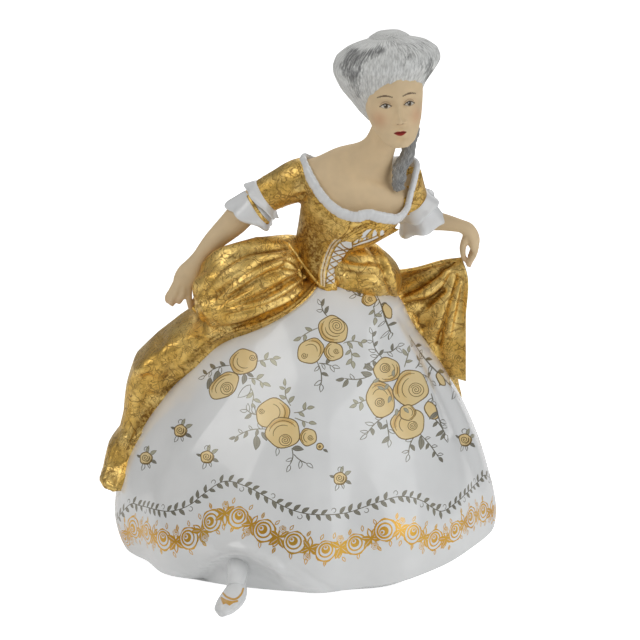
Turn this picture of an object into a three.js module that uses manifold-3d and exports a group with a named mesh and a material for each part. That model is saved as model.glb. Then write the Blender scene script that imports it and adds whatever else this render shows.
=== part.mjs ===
// A porcelain figurine of a dancer in eighteenth-century court dress, bowing with her overskirt held
// out at both sides. It was cast as one piece, so every form below is joined into one solid.
//
// Millimetres. +Z is up and the dancer faces -Y. The origin is the middle of the skirt's flat
// underside. "Left" and "right" are as seen from in front, so left is -X.
import * as THREE from "three";
import Module from "manifold-3d";

const wasm = await Module();
wasm.setup();

// Driving dimensions.
const SKIRT_RADIUS = 75.5; // at the widest level
const SKIRT_WIDEST = 18; // height of that level
const WAIST_HEIGHT = 117; // where the skirt's dome closes under the bodice
const HEM_TUCK = 6; // how far the hem draws in below the widest level
const DOME_POWER = 1.5;
const DOME_ROUNDNESS = 0.7;
const WAIST_SHIFT = 7; // the waist stands this far to the right of the skirt's middle
const HIP_BULGE = 6; // the hoop's hip under the waist, on either side
const HIP_HEIGHT = 104;
const HIP_SPREAD = 10;
const ARCH_HEIGHT = 19; // the hem is drawn up and in under this fold, over the shoe
const ARCH_MIDDLE = -22; // degrees round from the front
const ARCH_SPREAD = 22;
const ARCH_DEPTH = 4.5;
const HEAD_CENTRE = [34.6, -19.5, 188];
const HEAD_TILT = 4; // degrees, the crown towards the left
const HEAD_TURN = 9; // degrees, the face towards the right
const HEAD_RAISE = 5; // degrees, the face upwards

const SKIRT_FRONT_SIDES = 40; // over the front half, and
const SKIRT_BACK_SIDES = 14; // over the half that the overskirt covers
const SKIRT_LEVELS = [0.8, 3.5, 8, 13, 19, 27, 37, 48, 59, 69, 79, 88, 96, 103, 108.5, 112.5];

const { sin, cos, PI, abs, exp, max, min, sqrt, hypot, atan2 } = Math;
const radians = THREE.MathUtils.degToRad;
const lerp = THREE.MathUtils.lerp;
const smoothstep = (x, low, high) => THREE.MathUtils.smoothstep(x, low, high);
const vector = ([x, y, z]) => new THREE.Vector3(x, y, z);

/** How near two angles are, as a bell of the given width around `middle`, in degrees. */
function bell(degrees, middle, width) {
  const apart = abs(((degrees - middle + 540) % 360) - 180);
  return exp(-((apart / width) ** 2));
}

/** A closed solid from points and triangles, turned so that its faces point out. */
function solid(points, triangles) {
  let volume = 0;
  for (const [a, b, c] of triangles) {
    volume += points[a].dot(new THREE.Vector3().crossVectors(points[b], points[c]));
  }
  const facing = volume < 0 ? triangles.map(([a, b, c]) => [a, c, b]) : triangles;
  return new wasm.Manifold(
    new wasm.Mesh({
      numProp: 3,
      vertProperties: new Float32Array(points.flatMap((p) => [p.x, p.y, p.z])),
      triVerts: new Uint32Array(facing.flat()),
    }),
  );
}

/** A closed solid through rings of as many points each, with a fan of triangles over both ends. */
function loft(rings) {
  const sides = rings[0].length;
  const points = rings.flat();
  const triangles = [];
  for (let ring = 0; ring + 1 < rings.length; ring++) {
    for (let i = 0; i < sides; i++) {
      const a = ring * sides + i;
      const b = ring * sides + ((i + 1) % sides);
      triangles.push([a, b, a + sides], [b, b + sides, a + sides]);
    }
  }
  for (const [ring, first] of [
    [rings[0], 0],
    [rings.at(-1), (rings.length - 1) * sides],
  ]) {
    const middle = ring.reduce((sum, p) => sum.add(p), new THREE.Vector3()).divideScalar(sides);
    points.push(middle);
    for (let i = 0; i < sides; i++) {
      const pair = [first + i, first + ((i + 1) % sides)];
      triangles.push([points.length - 1, ...(first ? pair : pair.reverse())]);
    }
  }
  return solid(points, triangles);
}

/** Joins solids into one. */
function join(...solids) {
  return solids.reduce((sum, each) => sum.add(each));
}

/**
 * A limb: rings along a smooth path. Each station is [x, y, z, half width, half depth], and `across`
 * gives the direction of the half width at both ends. `swell(angle, along)` scales the ring.
 */
function limb(stations, { across, acrossEnd = across, sides = 10, steps, swell = () => 1 }) {
  const path = new THREE.CatmullRomCurve3(stations.map(vector));
  const size = new THREE.CatmullRomCurve3(
    stations.map(([, , , width, depth = width]) => vector([width, depth, 0])),
  );
  const rings = [];
  for (let step = 0; step <= steps; step++) {
    const along = step / steps;
    const middle = path.getPoint(along);
    const heading = path.getTangent(along);
    const wide = vector(across).lerp(vector(acrossEnd), along);
    wide.addScaledVector(heading, -wide.dot(heading)).normalize();
    const deep = new THREE.Vector3().crossVectors(heading, wide);
    const { x: width, y: depth } = size.getPoint(along);
    rings.push(
      Array.from({ length: sides }, (_, i) => {
        const angle = (2 * PI * i) / sides;
        const scale = swell(angle, along);
        return middle
          .clone()
          .addScaledVector(wide, max(width, 0.3) * scale * cos(angle))
          .addScaledVector(deep, max(depth, 0.3) * scale * sin(angle));
      }),
    );
  }
  return loft(rings);
}

// The skirt.

// How high the hem hangs: [degrees, height], where 0 degrees is the front and 90 the right.
const HEM = [
  [-180, 1.5],
  [-120, 2],
  [-90, 3],
  [-70, 3.6],
  [-60, 4.2],
  [-50, 3],
  [-35, 1.2],
  [-22, 2.2],
  [-10, 2],
  [0, 2.2],
  [17, 3.5],
  [33, 5.2],
  [45, 6.2],
  [55, 8],
  [68, 9.6],
  [80, 12],
  [95, 11.5],
  [120, 4],
  [180, 1.5],
];

/** The value at a place in a table of [place, value], lowest place first. */
function tabled(table, place) {
  const above = table.findIndex(([at]) => at >= place);
  if (above === 0) return table[0][1];
  if (above < 0) return table.at(-1)[1];
  const [[low, under], [high, over]] = [table[above - 1], table[above]];
  return lerp(under, over, (place - low) / (high - low));
}

/** An angle brought into -180 to 180 degrees. */
const wrapped = (degrees) => ((((degrees + 180) % 360) + 360) % 360) - 180;

/** The dome's radius at a height, before its folds. */
function domeRadius(height) {
  if (height < SKIRT_WIDEST) {
    return SKIRT_RADIUS - HEM_TUCK * (1 - height / SKIRT_WIDEST) ** 2;
  }
  const rise = min((height - SKIRT_WIDEST) / (WAIST_HEIGHT - SKIRT_WIDEST), 1);
  return SKIRT_RADIUS * (1 - rise ** DOME_POWER) ** DOME_ROUNDNESS;
}

/** The soft folds, deepest at the hem, the arch over the shoe and a crease down the right side. */
function skirtFold(degrees, height) {
  const depth = 1.6 * (1 - smoothstep(height, 0, 95));
  const turn = radians(degrees);
  const folds = 0.6 * cos(9 * turn + 0.8) + 0.4 * cos(14 * turn - 0.6);
  const arch = ARCH_HEIGHT * bell(degrees, ARCH_MIDDLE, ARCH_SPREAD);
  const recess = ARCH_DEPTH * smoothstep(arch - height, 0, 9);
  const ridge = 1.5 * exp(-(((height - arch - 3) / 7) ** 2)) * bell(degrees, ARCH_MIDDLE, 40);
  const crease = 1.4 * bell(degrees, 71, 6) * smoothstep(height, 5, 25);
  return depth * folds - recess + ridge - crease * (1 - smoothstep(height, 70, 100));
}

/** The skirt's surface at an angle and height, moved out by `proud`. */
function skirtPoint(degrees, height, proud = 0) {
  const turn = radians(degrees);
  const hip = HIP_BULGE * sin(turn) ** 2 * exp(-(((height - HIP_HEIGHT) / HIP_SPREAD) ** 2));
  const radius = domeRadius(height) + skirtFold(degrees, height) + hip + proud;
  const middle = WAIST_SHIFT * (height / WAIST_HEIGHT) ** 2;
  return new THREE.Vector3(middle + radius * sin(turn), -radius * cos(turn), height);
}

function skirt() {
  const angles = [
    ...Array.from({ length: SKIRT_FRONT_SIDES }, (_, i) => -96 + (192 * i) / SKIRT_FRONT_SIDES),
    ...Array.from({ length: SKIRT_BACK_SIDES }, (_, i) => 96 + (168 * i) / SKIRT_BACK_SIDES),
  ];
  const hems = angles.map((degrees) => tabled(HEM, wrapped(degrees)));
  const footprint = angles.map((degrees, i) => skirtPoint(degrees, 0, -2 - hems[i]));
  const rings = SKIRT_LEVELS.map((level) =>
    angles.map((degrees, i) => skirtPoint(degrees, lerp(hems[i], WAIST_HEIGHT, level / WAIST_HEIGHT))),
  );
  return loft([footprint, ...rings]);
}

// The gilt overskirt.

// Where the overskirt's left front edge lies on the skirt, from the waist down: [degrees, height].
const LEFT_EDGE = [
  [-4.5, 111.8],
  [-10, 109],
  [-20, 105],
  [-34, 99.8],
  [-47, 95.8],
  [-58, 92.6],
  [-68, 87],
  [-74, 76],
  [-82, 62],
  [-85, 46],
  [-83, 35],
  [-79, 27],
];
// How far it stands proud of the skirt at the left: [height, millimetres].
const LEFT_SWELL = [
  [24, 4],
  [29, 6],
  [35, 7],
  [41, 8],
  [47, 6.5],
  [55, 9],
  [66, 15],
  [76, 19.5],
  [84, 18.5],
  [91, 16],
  [97, 12],
  [104, 6],
  [112, 3],
];
// The share of that swell which the puff takes up in front: all of it above the second height and
// short of the first angle, none of it below the first height or past the second angle.
const PUFF_SHARE = 0.75;
const PUFF_HEIGHTS = [78, 91];
const PUFF_ANGLES = [50, 85];
const EDGE_ROUND = 9; // millimetres over which the left front edge curls up to full swell
const EDGE_COLUMNS = [0, 1, 3, 6, 10, 15, 22]; // millimetres from that edge
const SIDE_COLUMNS = 19; // from there round the back
const OVERSKIRT_ROWS = 11;
const OVERSKIRT_RIGHT = -258; // degrees, round by the back, where its right front edge lies
const OVERSKIRT_TOP = 112;
// Its lower edge, round by the back from the left: [share of the way, height].
const OVERSKIRT_HEM = [
  [0, 27],
  [0.1, 24],
  [0.3, 15],
  [0.55, 12],
  [0.72, 22],
  [0.88, 48],
  [1, 76],
];

function overskirt() {
  const edge = new THREE.CatmullRomCurve3(LEFT_EDGE.map(([degrees, z]) => vector([degrees, z, 0])));
  const columnCount = EDGE_COLUMNS.length + SIDE_COLUMNS;
  const rings = [];
  for (let column = 0; column < columnCount; column++) {
    const outer = [];
    const inner = [];
    for (let row = 0; row <= OVERSKIRT_ROWS; row++) {
      const down = row / OVERSKIRT_ROWS;
      const { x: edgeDegrees, y: edgeHeight } = edge.getPoint(down);
      const perDegree = radians(domeRadius(edgeHeight) + 6);
      const side = edgeDegrees - EDGE_COLUMNS.at(-1) / perDegree;
      const degrees =
        column < EDGE_COLUMNS.length
          ? edgeDegrees - EDGE_COLUMNS[column] / perDegree
          : lerp(side, OVERSKIRT_RIGHT, (column - EDGE_COLUMNS.length + 1) / SIDE_COLUMNS);
      const fromEdge = edgeDegrees - degrees;
      const around = fromEdge / (edgeDegrees - OVERSKIRT_RIGHT);
      const level = lerp(OVERSKIRT_TOP, tabled(OVERSKIRT_HEM, around), down);
      const height = lerp(edgeHeight, level, smoothstep(fromEdge, 0, 70));
      const rise = sqrt(1 - (1 - min((fromEdge * perDegree) / EDGE_ROUND, 1)) ** 2);
      const leftShare = 1 - smoothstep(-degrees, 100, 160);
      const pleats = 4.8 + 2.2 * cos(9 * radians(degrees)) * smoothstep(-degrees, 95, 125);
      const back = pleats * smoothstep(-degrees, 95, 150) * (1 - 0.8 * smoothstep(-degrees, 225, 258));
      const underPuff = smoothstep(height, ...PUFF_HEIGHTS) * (1 - smoothstep(-degrees, ...PUFF_ANGLES));
      const swell = tabled(LEFT_SWELL, height) * leftShare * (1 - PUFF_SHARE * underPuff);
      const proud = 1.4 + rise * (swell + back);
      outer.push(skirtPoint(degrees, height, proud));
      inner.push(skirtPoint(degrees, height, -5));
    }
    rings.push([...outer, ...inner.reverse()]);
  }
  return loft(rings);
}

// The gathered puff from the left of the waist to the left hand's pinch.
const LEFT_PUFF = [
  [4, -4, 117, 8, 8],
  [-4, -4.2, 116.6, 12.6, 10.8],
  [-14, -9, 113.4, 17, 15.6],
  [-24, -12.6, 109.8, 18, 16.4],
  [-33, -12, 105, 15.2, 13.8],
  [-38.4, -8.5, 101, 7.4, 7.6],
  [-42, -6.6, 100.3, 3.4, 3.2],
  [-44.6, -6.5, 100.4, 1.2, 1.2],
];
// The smaller puff over the right hip.
const RIGHT_PUFF = [
  [11, -4, 116, 9, 8],
  [17, -5, 116, 11, 12],
  [24, -4, 114.6, 10.6, 13],
  [30, -1, 110.6, 8.6, 11],
  [33.6, 1, 105.5, 5, 6],
  [35, 2, 102.5, 1.5, 2],
];

const flutes = (count, depth) => (angle, along) =>
  1 + depth * sin(PI * along) * cos(count * angle);

function puffs() {
  return join(
    limb(LEFT_PUFF, { across: [0.2, 0, 1], sides: 22, steps: 10, swell: flutes(7, 0.06) }),
    limb(RIGHT_PUFF, { across: [0.5, 0, 1], sides: 14, steps: 8 }),
  );
}

// The panel of the overskirt that the right hand holds out: its top and free edges.
const WING_TOP = [
  [28, 9, 111],
  [36, 9, 111.5],
  [44, 9, 112.5],
  [53.4, 9, 115],
  [62, 8, 116.5],
];
const WING_INNER = [
  [28, 9, 111],
  [36, 10, 98],
  [46, 12, 80],
  [53, 12, 67],
];
const WING_OUTER = [
  [62, 8, 116.5],
  [64.5, 6.5, 108],
  [63.6, 4, 91],
  [63.8, 5, 66],
];
const WING_THICKNESS = 2.8;

function wing() {
  const [inner, outer] = [WING_INNER, WING_OUTER].map(
    (edge) => new THREE.CatmullRomCurve3(edge.map(vector)),
  );
  const top = new THREE.CatmullRomCurve3(WING_TOP.map(vector));
  const pinch = vector(WING_OUTER[0]);
  const columns = 13;
  const rows = 7;
  const rings = [];
  for (let column = 0; column <= columns; column++) {
    const across = column / columns;
    const front = [];
    const back = [];
    for (let row = 0; row <= rows; row++) {
      const down = row / rows;
      const straight = inner.getPoint(0).lerp(outer.getPoint(0), across);
      const lift = top.getPoint(across).sub(straight).multiplyScalar((1 - down) ** 2);
      const point = inner.getPoint(down).lerp(outer.getPoint(down), across).add(lift);
      const away = hypot(point.x - pinch.x, point.z - pinch.z);
      const ray = atan2(pinch.x - point.x, pinch.z - point.z);
      const fold = 2.2 * cos(11 * ray) * smoothstep(away, 3, 22) * (1 - 0.5 * down);
      const half = (WING_THICKNESS / 2) * (1 + 0.4 * (1 - across));
      front.push(point.clone().add(vector([0, fold - half, 0])));
      back.push(point.clone().add(vector([0, fold + half, 0])));
    }
    rings.push([...front, ...back.reverse()]);
  }
  return loft(rings);
}

// The body.

// The bodice and chest: [x, y, z, half width, half depth].
const TORSO = [
  [9.5, -8, 108, 4.5, 8],
  [6.2, -6, 118, 9.4, 9.6],
  [9.4, -7, 130, 12.4, 11],
  [17, -10.5, 143, 20, 14],
  [20.5, -10, 151.5, 22.2, 13],
  [23, -8.8, 157.3, 16, 10],
  [26.4, -10.8, 162.3, 9.6, 7.8],
  [29.2, -12.7, 167, 7, 6.8],
  [33, -16, 180, 6, 6],
];

function torso() {
  return limb(TORSO, { across: [0.86, 0, -0.5], acrossEnd: [1.2, 0, 0.1], sides: 18, steps: 17 });
}

// The frill round the low neckline, over both shoulders and across the back.
const NECKLINE = [
  [-0.8, -8, 161],
  [0.4, -14, 158.6],
  [4, -20, 153.3],
  [7.5, -23, 148.9],
  [13.4, -25.5, 144.4],
  [19.8, -26.5, 142.6],
  [24.9, -26.5, 143.6],
  [30.4, -25, 141.9],
  [36.4, -21, 140.4],
  [40, -16, 143],
  [41.5, -12.5, 148],
  [43.2, -9, 153.9],
  [43.8, -5, 158.4],
  [39, -1.5, 158.5],
  [31, 0.5, 156.5],
  [22, 1, 156],
  [13, 0, 157],
  [3.4, -3.2, 158.2],
];
const FRILL_HALF_WIDTH = 2.6;
const FRILL_HALF_DEPTH = 1.7;

function frill() {
  const path = new THREE.CatmullRomCurve3(NECKLINE.map(vector), true);
  const chest = vector([22, -9, 152]);
  const steps = 32;
  const sides = 6;
  const points = [];
  const triangles = [];
  for (let step = 0; step < steps; step++) {
    const middle = path.getPoint(step / steps);
    const heading = path.getTangent(step / steps);
    const out = middle.clone().sub(chest);
    out.addScaledVector(heading, -out.dot(heading)).normalize();
    const down = new THREE.Vector3().crossVectors(heading, out);
    for (let i = 0; i < sides; i++) {
      const angle = (2 * PI * i) / sides;
      points.push(
        middle
          .clone()
          .addScaledVector(down, FRILL_HALF_WIDTH * cos(angle))
          .addScaledVector(out, FRILL_HALF_DEPTH * sin(angle)),
      );
      const next = ((step + 1) % steps) * sides;
      const [a, b] = [step * sides + i, step * sides + ((i + 1) % sides)];
      triangles.push([a, b, next + i], [b, next + ((i + 1) % sides), next + i]);
    }
  }
  return solid(points, triangles);
}

// The arms: [x, y, z, half width, half depth].
const LEFT_ARM = [
  [6, -8.5, 154, 8],
  [-2, -8, 152.5, 8],
  [-9, -6, 149, 6.9],
  [-16, -4.5, 145, 6.1],
  [-23, -3.5, 139.5, 5.8],
  [-28, -3.5, 134, 5.4],
  [-36.4, -5, 126.3, 4],
  [-41.3, -6, 120.6, 3.1],
];
const RIGHT_ARM = [
  [38, -4, 153, 7.5],
  [40, -1, 147, 6.8],
  [42, 2, 140, 6.2],
  [43.5, 4, 134.5, 5.4],
  [48, 4, 133, 4.2],
  [55, 2, 132.5, 3.4],
  [61.5, 0.5, 131.4, 2.6],
];

// The left hand: the palm, the three loose fingers, and the finger and thumb that pinch the cloth.
const LEFT_PALM = [
  [-40.6, -6, 121.4, 3.2, 2.8],
  [-43.4, -6.8, 117.8, 3.7, 2.4],
  [-46.4, -7.6, 113.6, 4.7, 2.3],
  [-48.6, -8.2, 110, 4.2, 1.9],
];
const LEFT_FINGERS = [
  [
    [-50.4, -8, 111.2, 1.5],
    [-52.6, -8.6, 107.2, 1.4],
    [-54.2, -8.4, 104.4, 1.3],
    [-53.8, -7.8, 102.2, 1],
  ],
  [
    [-49.2, -9, 110.4, 1.5],
    [-51.2, -9.8, 106.2, 1.5],
    [-52.6, -9.6, 103.8, 1.4],
    [-52.2, -9, 101.4, 1],
  ],
  [
    [-47.8, -9.2, 109.8, 1.5],
    [-48, -10, 106.6, 1.5],
    [-49.2, -9.8, 104.4, 1.4],
    [-50, -9.2, 102.4, 1],
  ],
  [
    [-46, -8.6, 110.4, 1.6],
    [-45.8, -9.4, 106.4, 1.4],
    [-45.6, -8.2, 102.4, 1.2],
    [-45.2, -6.8, 99.6, 1],
  ],
  [
    [-43.4, -6.4, 114.6, 1.9],
    [-42, -6.4, 109.4, 1.6],
    [-42.4, -6.6, 105, 1.4],
    [-44.4, -6.4, 100.6, 1.1],
  ],
];
const RIGHT_PALM = [
  [60.8, 0.6, 131.6, 2.6, 2.5],
  [64, 1, 130, 3, 2.8],
  [66.4, 2.4, 126.4, 3.6, 2.3],
  [67, 4, 122.4, 3.6, 1.9],
];
const RIGHT_FINGERS = [
  [
    [67.6, 2.4, 122.6, 1.3],
    [66.8, 2.4, 119.4, 1.25],
    [65, 3.4, 116.4, 1.1],
    [64.2, 4.2, 114, 0.9],
  ],
  [
    [67.4, 4.4, 122.4, 1.4],
    [66.8, 4.6, 118.8, 1.3],
    [65.4, 5.4, 115.6, 1.15],
    [64.6, 6, 113, 0.9],
  ],
  [
    [67, 6.2, 122.6, 1.3],
    [66, 6.8, 119, 1.2],
    [64.8, 7.2, 116.4, 1],
  ],
  [
    [63.8, 0.8, 127.4, 1.6],
    [62.4, 1.4, 123, 1.4],
    [62.4, 3.6, 119, 1.2],
    [63, 5, 115.8, 0.9],
  ],
];

function arms() {
  const upright = { across: [0, 0, 1], sides: 10 };
  return join(
    limb(LEFT_ARM, { ...upright, steps: 12 }),
    limb(RIGHT_ARM, { ...upright, steps: 11 }),
    limb(LEFT_PALM, { across: [0.8, 0, 0.6], sides: 8, steps: 4 }),
    limb(RIGHT_PALM, { across: [0.3, 1, 0], sides: 8, steps: 4 }),
    ...[...LEFT_FINGERS, ...RIGHT_FINGERS].map((finger) =>
      limb(finger, { across: [0, 1, 0.2], sides: 6, steps: 3 }),
    ),
  );
}

// The sleeves' frills: the middle of the narrow end, the middle of the wide end with its radius,
// and the way each end faces.
const CUFFS = [
  [
    [-15, -4.6, 145.8],
    [-17.2, -4.3, 142.3, 9.3],
    [-0.84, 0, -0.54],
    [-0.71, 0, -0.7],
  ],
  [
    [-17, -4.2, 142.7],
    [-22.3, -3.8, 137.6, 9.9],
    [-0.71, 0, -0.7],
    [-0.53, 0, -0.85],
  ],
  [
    [41.5, 1.2, 142.6],
    [44.6, 3.6, 137.5, 9],
    [0.48, 0.37, -0.79],
    [0.48, 0.37, -0.79],
  ],
  [
    [44, 3.4, 138.4],
    [47, 3.5, 130, 9.6],
    [0.34, 0.01, -0.94],
    [0.34, 0.01, -0.94],
  ],
];

// A cuff's section from its narrow end: how far along it, and the share of the radius there.
const CUFF_PROFILE = [
  [0, 0.62],
  [0.12, 0.74],
  [0.6, 0.88],
  [1, 1],
  [0.97, 0.86],
  [0.8, 0.6],
];

const CUFF_SIDES = 15;

function cuffs() {
  return join(
    ...CUFFS.map(([start, end, startFacing, endFacing], which) => {
      const [from, to] = [vector(start), vector(end)];
      return loft(
        CUFF_PROFILE.map(([along, share]) => {
          const axis = vector(startFacing).lerp(vector(endFacing), along).normalize();
          const wide = new THREE.Vector3(0, 1, 0).addScaledVector(axis, -axis.y).normalize();
          const deep = new THREE.Vector3().crossVectors(axis, wide);
          return Array.from({ length: CUFF_SIDES }, (_, i) => {
            const angle = (2 * PI * i) / CUFF_SIDES;
            const wave = 1 + 0.08 * along * cos(5 * angle + which);
            const radius = end[3] * share * wave;
            return from
              .clone()
              .lerp(to, along)
              .addScaledVector(wide, radius * cos(angle))
              .addScaledVector(deep, radius * sin(angle));
          });
        }),
      );
    }),
  );
}

// The head.

const headFrame = new THREE.Matrix4()
  .makeRotationFromEuler(
    new THREE.Euler(radians(-HEAD_RAISE), radians(-HEAD_TILT), radians(HEAD_TURN), "ZYX"),
  )
  .setPosition(vector(HEAD_CENTRE));

/** Puts a point of the head's own frame, with its centre at the origin, where the head is. */
const onHead = (x, y, z) => new THREE.Vector3(x, y, z).applyMatrix4(headFrame);

/** A form stacked up the head: each level is [height, half width, middle x, middle forward, half depth]. */
function stacked(levels, sides, steps) {
  const path = new THREE.CatmullRomCurve3(levels.map(([z, , x, forward]) => vector([x, -forward, z])));
  const size = new THREE.CatmullRomCurve3(levels.map(([, wide, , , deep]) => vector([wide, deep, 0])));
  const rings = [];
  for (let step = 0; step <= steps; step++) {
    const middle = path.getPoint(step / steps);
    const half = size.getPoint(step / steps);
    rings.push(
      Array.from({ length: sides }, (_, i) => {
        const angle = (2 * PI * i) / sides;
        return onHead(
          middle.x + max(half.x, 0.5) * cos(angle),
          middle.y + max(half.y, 0.5) * sin(angle),
          middle.z,
        );
      }),
    );
  }
  return loft(rings);
}

// On the usual proportions: eyes halfway up, and hairline, brow, nose and chin a third of the face apart.
const HEAD = [
  [-17, 3.4, 0, 9, 2.2],
  [-15, 6.2, 0, 7, 5],
  [-11.5, 8.4, 0, 4.3, 8],
  [-6.5, 10.3, 0, 1.6, 11],
  [-1, 11.4, 0, 0.3, 12.4],
  [5, 12, 0, -0.4, 13.4],
  [11, 11, 0, -0.8, 13],
  [15, 8, 0, -1, 10],
  [17, 3, 0, -1, 4],
];
const HAIR = [
  [-8, 8.6, -1, -7.5, 6.5],
  [-4, 11.6, -1.2, -6.8, 10.8],
  [1, 14, -2, -6.5, 13.5],
  [5.5, 16.6, -2.4, -6, 16],
  [10, 19.3, -1.7, -5.1, 17.9],
  [14.5, 21.1, -0.9, -3.8, 18.7],
  [18.5, 20, -0.2, -4.4, 17.4],
  [21.8, 15.5, 0.3, -5.4, 13.5],
  [24, 8, 0.5, -6, 7],
];
const TOPKNOT = [
  [20, 8.5, 1.6, -9, 8.5],
  [23.8, 8, 1.6, -9, 8],
  [25.8, 5, 1.6, -9, 5],
];
const RINGLET = [
  [43.4, -11.5, 184, 2.4],
  [45.2, -11, 177, 2.6],
  [42.6, -12, 170.2, 2.7],
  [39.8, -14, 164.2, 2.7],
  [37.4, -15.8, 158.4, 2.8],
  [36.6, -17.6, 154.2, 2.6],
  [37.8, -18.6, 151.2, 1.8],
];

function head() {
  const nose = solid(
    [
      onHead(0, -12.6, 2.4),
      onHead(-2.5, -12, -6.8),
      onHead(2.5, -12, -6.8),
      onHead(0, -16, -6.2),
      onHead(0, -10, -3),
    ],
    [
      [0, 1, 3],
      [0, 3, 2],
      [1, 2, 3],
      [0, 4, 1],
      [0, 2, 4],
      [1, 4, 2],
    ],
  );
  return join(
    stacked(HEAD, 16, 12),
    nose,
    stacked(HAIR, 20, 11),
    stacked(TOPKNOT, 12, 3),
    limb(RINGLET, {
      across: [0, 1, 0],
      sides: 8,
      steps: 12,
      swell: (angle, along) => 1 + 0.16 * cos(angle + 22 * along),
    }),
  );
}

// The foot.

const LEG = [
  [-25, -58, 16, 4.6],
  [-26, -64, 12, 4.2],
  [-26.6, -70, 8, 3.8],
  [-27.4, -75, 5, 3.4],
];
const SHOE = [
  [-26, -68.5, 4.6, 2.6, 3],
  [-26.6, -73, 4, 4, 4],
  [-27.8, -80, 3.4, 4.9, 3.8],
  [-29.6, -87, 2.7, 5, 2.9],
  [-31.4, -93.5, 2.1, 4, 2.1],
  [-32.4, -97.4, 1.6, 1.6, 1.2],
];

function foot() {
  return join(
    limb(LEG, { across: [1, 0, 0], sides: 10, steps: 4 }),
    limb(SHOE, { across: [1, 0, 0], sides: 12, steps: 9 }),
  );
}

/** The largest body of a solid alone, so that hollows sealed in by the joins are filled. */
function filled(joined) {
  return joined.decompose().reduce((a, b) => (a.volume() > b.volume() ? a : b));
}

/** A mesh of a finished solid. */
function meshOf(finished, name, material) {
  const { vertProperties, triVerts } = finished.getMesh();
  const geometry = new THREE.BufferGeometry();
  geometry.setAttribute("position", new THREE.BufferAttribute(vertProperties, 3));
  geometry.setIndex(new THREE.BufferAttribute(triVerts, 1));
  geometry.computeVertexNormals();
  const mesh = new THREE.Mesh(geometry, material);
  mesh.name = name;
  return mesh;
}

const porcelain = new THREE.MeshStandardMaterial({ color: 0xe9e6df, roughness: 0.2, metalness: 0 });

const ground = new THREE.Box3(new THREE.Vector3(-200, -200, -20), new THREE.Vector3(200, 200, 0));
const below = solid(
  [0, 1, 2, 3, 4, 5, 6, 7].map(
    (i) =>
      new THREE.Vector3(
        i & 1 ? ground.max.x : ground.min.x,
        i & 2 ? ground.max.y : ground.min.y,
        i & 4 ? ground.max.z : ground.min.z,
      ),
  ),
  [
    [0, 2, 1],
    [1, 2, 3],
    [4, 5, 6],
    [5, 7, 6],
    [0, 1, 4],
    [1, 5, 4],
    [2, 6, 3],
    [3, 6, 7],
    [0, 4, 2],
    [2, 4, 6],
    [1, 3, 5],
    [3, 7, 5],
  ],
);

const dancer = filled(join(
  skirt(),
  overskirt(),
  puffs(),
  wing(),
  torso(),
  frill(),
  arms(),
  cuffs(),
  head(),
  foot(),
).subtract(below));

const figurine = new THREE.Group();
figurine.add(meshOf(dancer, "dancer_figurine", porcelain));

export default figurine;
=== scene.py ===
"""The looks of a porcelain dancer figurine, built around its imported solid.

Every form is worked out in millimetres in the solid's own frame: +Z is up, the dancer faces -Y, and left
and right are as seen from in front. `Piece.cast` turns the points into metres.
"""

from __future__ import annotations

import logging
import math
from collections.abc import Callable
from dataclasses import dataclass, field
from enum import Enum

import bpy
import numpy as np
from mathutils import Euler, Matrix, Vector
from mathutils.bvhtree import BVHTree
from mathutils.geometry import delaunay_2d_cdt

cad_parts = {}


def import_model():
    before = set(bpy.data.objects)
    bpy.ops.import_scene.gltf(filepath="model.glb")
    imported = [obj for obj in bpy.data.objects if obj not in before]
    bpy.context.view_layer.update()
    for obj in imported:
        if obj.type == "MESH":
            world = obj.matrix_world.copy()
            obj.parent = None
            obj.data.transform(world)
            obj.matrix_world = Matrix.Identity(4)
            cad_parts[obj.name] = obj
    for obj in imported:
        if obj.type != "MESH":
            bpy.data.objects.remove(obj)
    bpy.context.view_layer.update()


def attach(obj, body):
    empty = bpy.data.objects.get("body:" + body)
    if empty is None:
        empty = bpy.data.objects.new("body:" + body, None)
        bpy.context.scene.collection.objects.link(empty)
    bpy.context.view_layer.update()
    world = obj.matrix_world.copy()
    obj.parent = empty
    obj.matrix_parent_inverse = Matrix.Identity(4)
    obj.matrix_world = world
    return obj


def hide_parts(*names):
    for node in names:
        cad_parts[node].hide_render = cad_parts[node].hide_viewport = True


log = logging.getLogger("dancer")

Array = np.ndarray
Stations = tuple[tuple[float, ...], ...]
Colour = tuple[float, float, float]
Place = tuple[float, float, float]

METRES = 0.001
NODE = "dancer_figurine"
BODY = "root"
VIEW_ELEVATION = math.radians(16.0)
SEEN_UP = np.array([0.0, math.sin(VIEW_ELEVATION), math.cos(VIEW_ELEVATION)])
SEEN_IN = np.array([0.0, math.cos(VIEW_ELEVATION), -math.sin(VIEW_ELEVATION)])
FULL_TURN = 2 * math.pi

FLESH: Colour = (0.76, 0.58, 0.355)
BLUSH: Colour = (0.66, 0.34, 0.19)
GILT: Colour = (0.80, 0.42, 0.06)


class Slot(Enum):
    """The material slots that the pieces are made with."""

    WHITE_GLAZE = "white_glaze"
    GILDING = "gilding"
    PAINTED_SKIN = "painted_skin"
    POWDERED_HAIR = "powdered_hair"


def smoothstep(x: Array | float, low: float, high: float) -> Array:
    """Rises smoothly from 0 at `low` to 1 at `high`."""
    t = np.clip((np.asarray(x, float) - low) / (high - low), 0.0, 1.0)
    return t * t * (3 - 2 * t)


def bell(x: Array | float, middle: float, width: float) -> Array:
    """A bell curve of height 1 round `middle`."""
    return np.exp(-(((np.asarray(x, float) - middle) / width) ** 2))


def bell_round(degrees: Array, middle: float, width: float) -> Array:
    """The same bell over an angle, which wraps at a full turn."""
    return bell((degrees - middle + 540) % 360 - 180, 0.0, width)


def wrapped(degrees: Array) -> Array:
    """Angles brought into -180 to 180 degrees."""
    return (np.asarray(degrees, float) + 180) % 360 - 180


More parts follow.
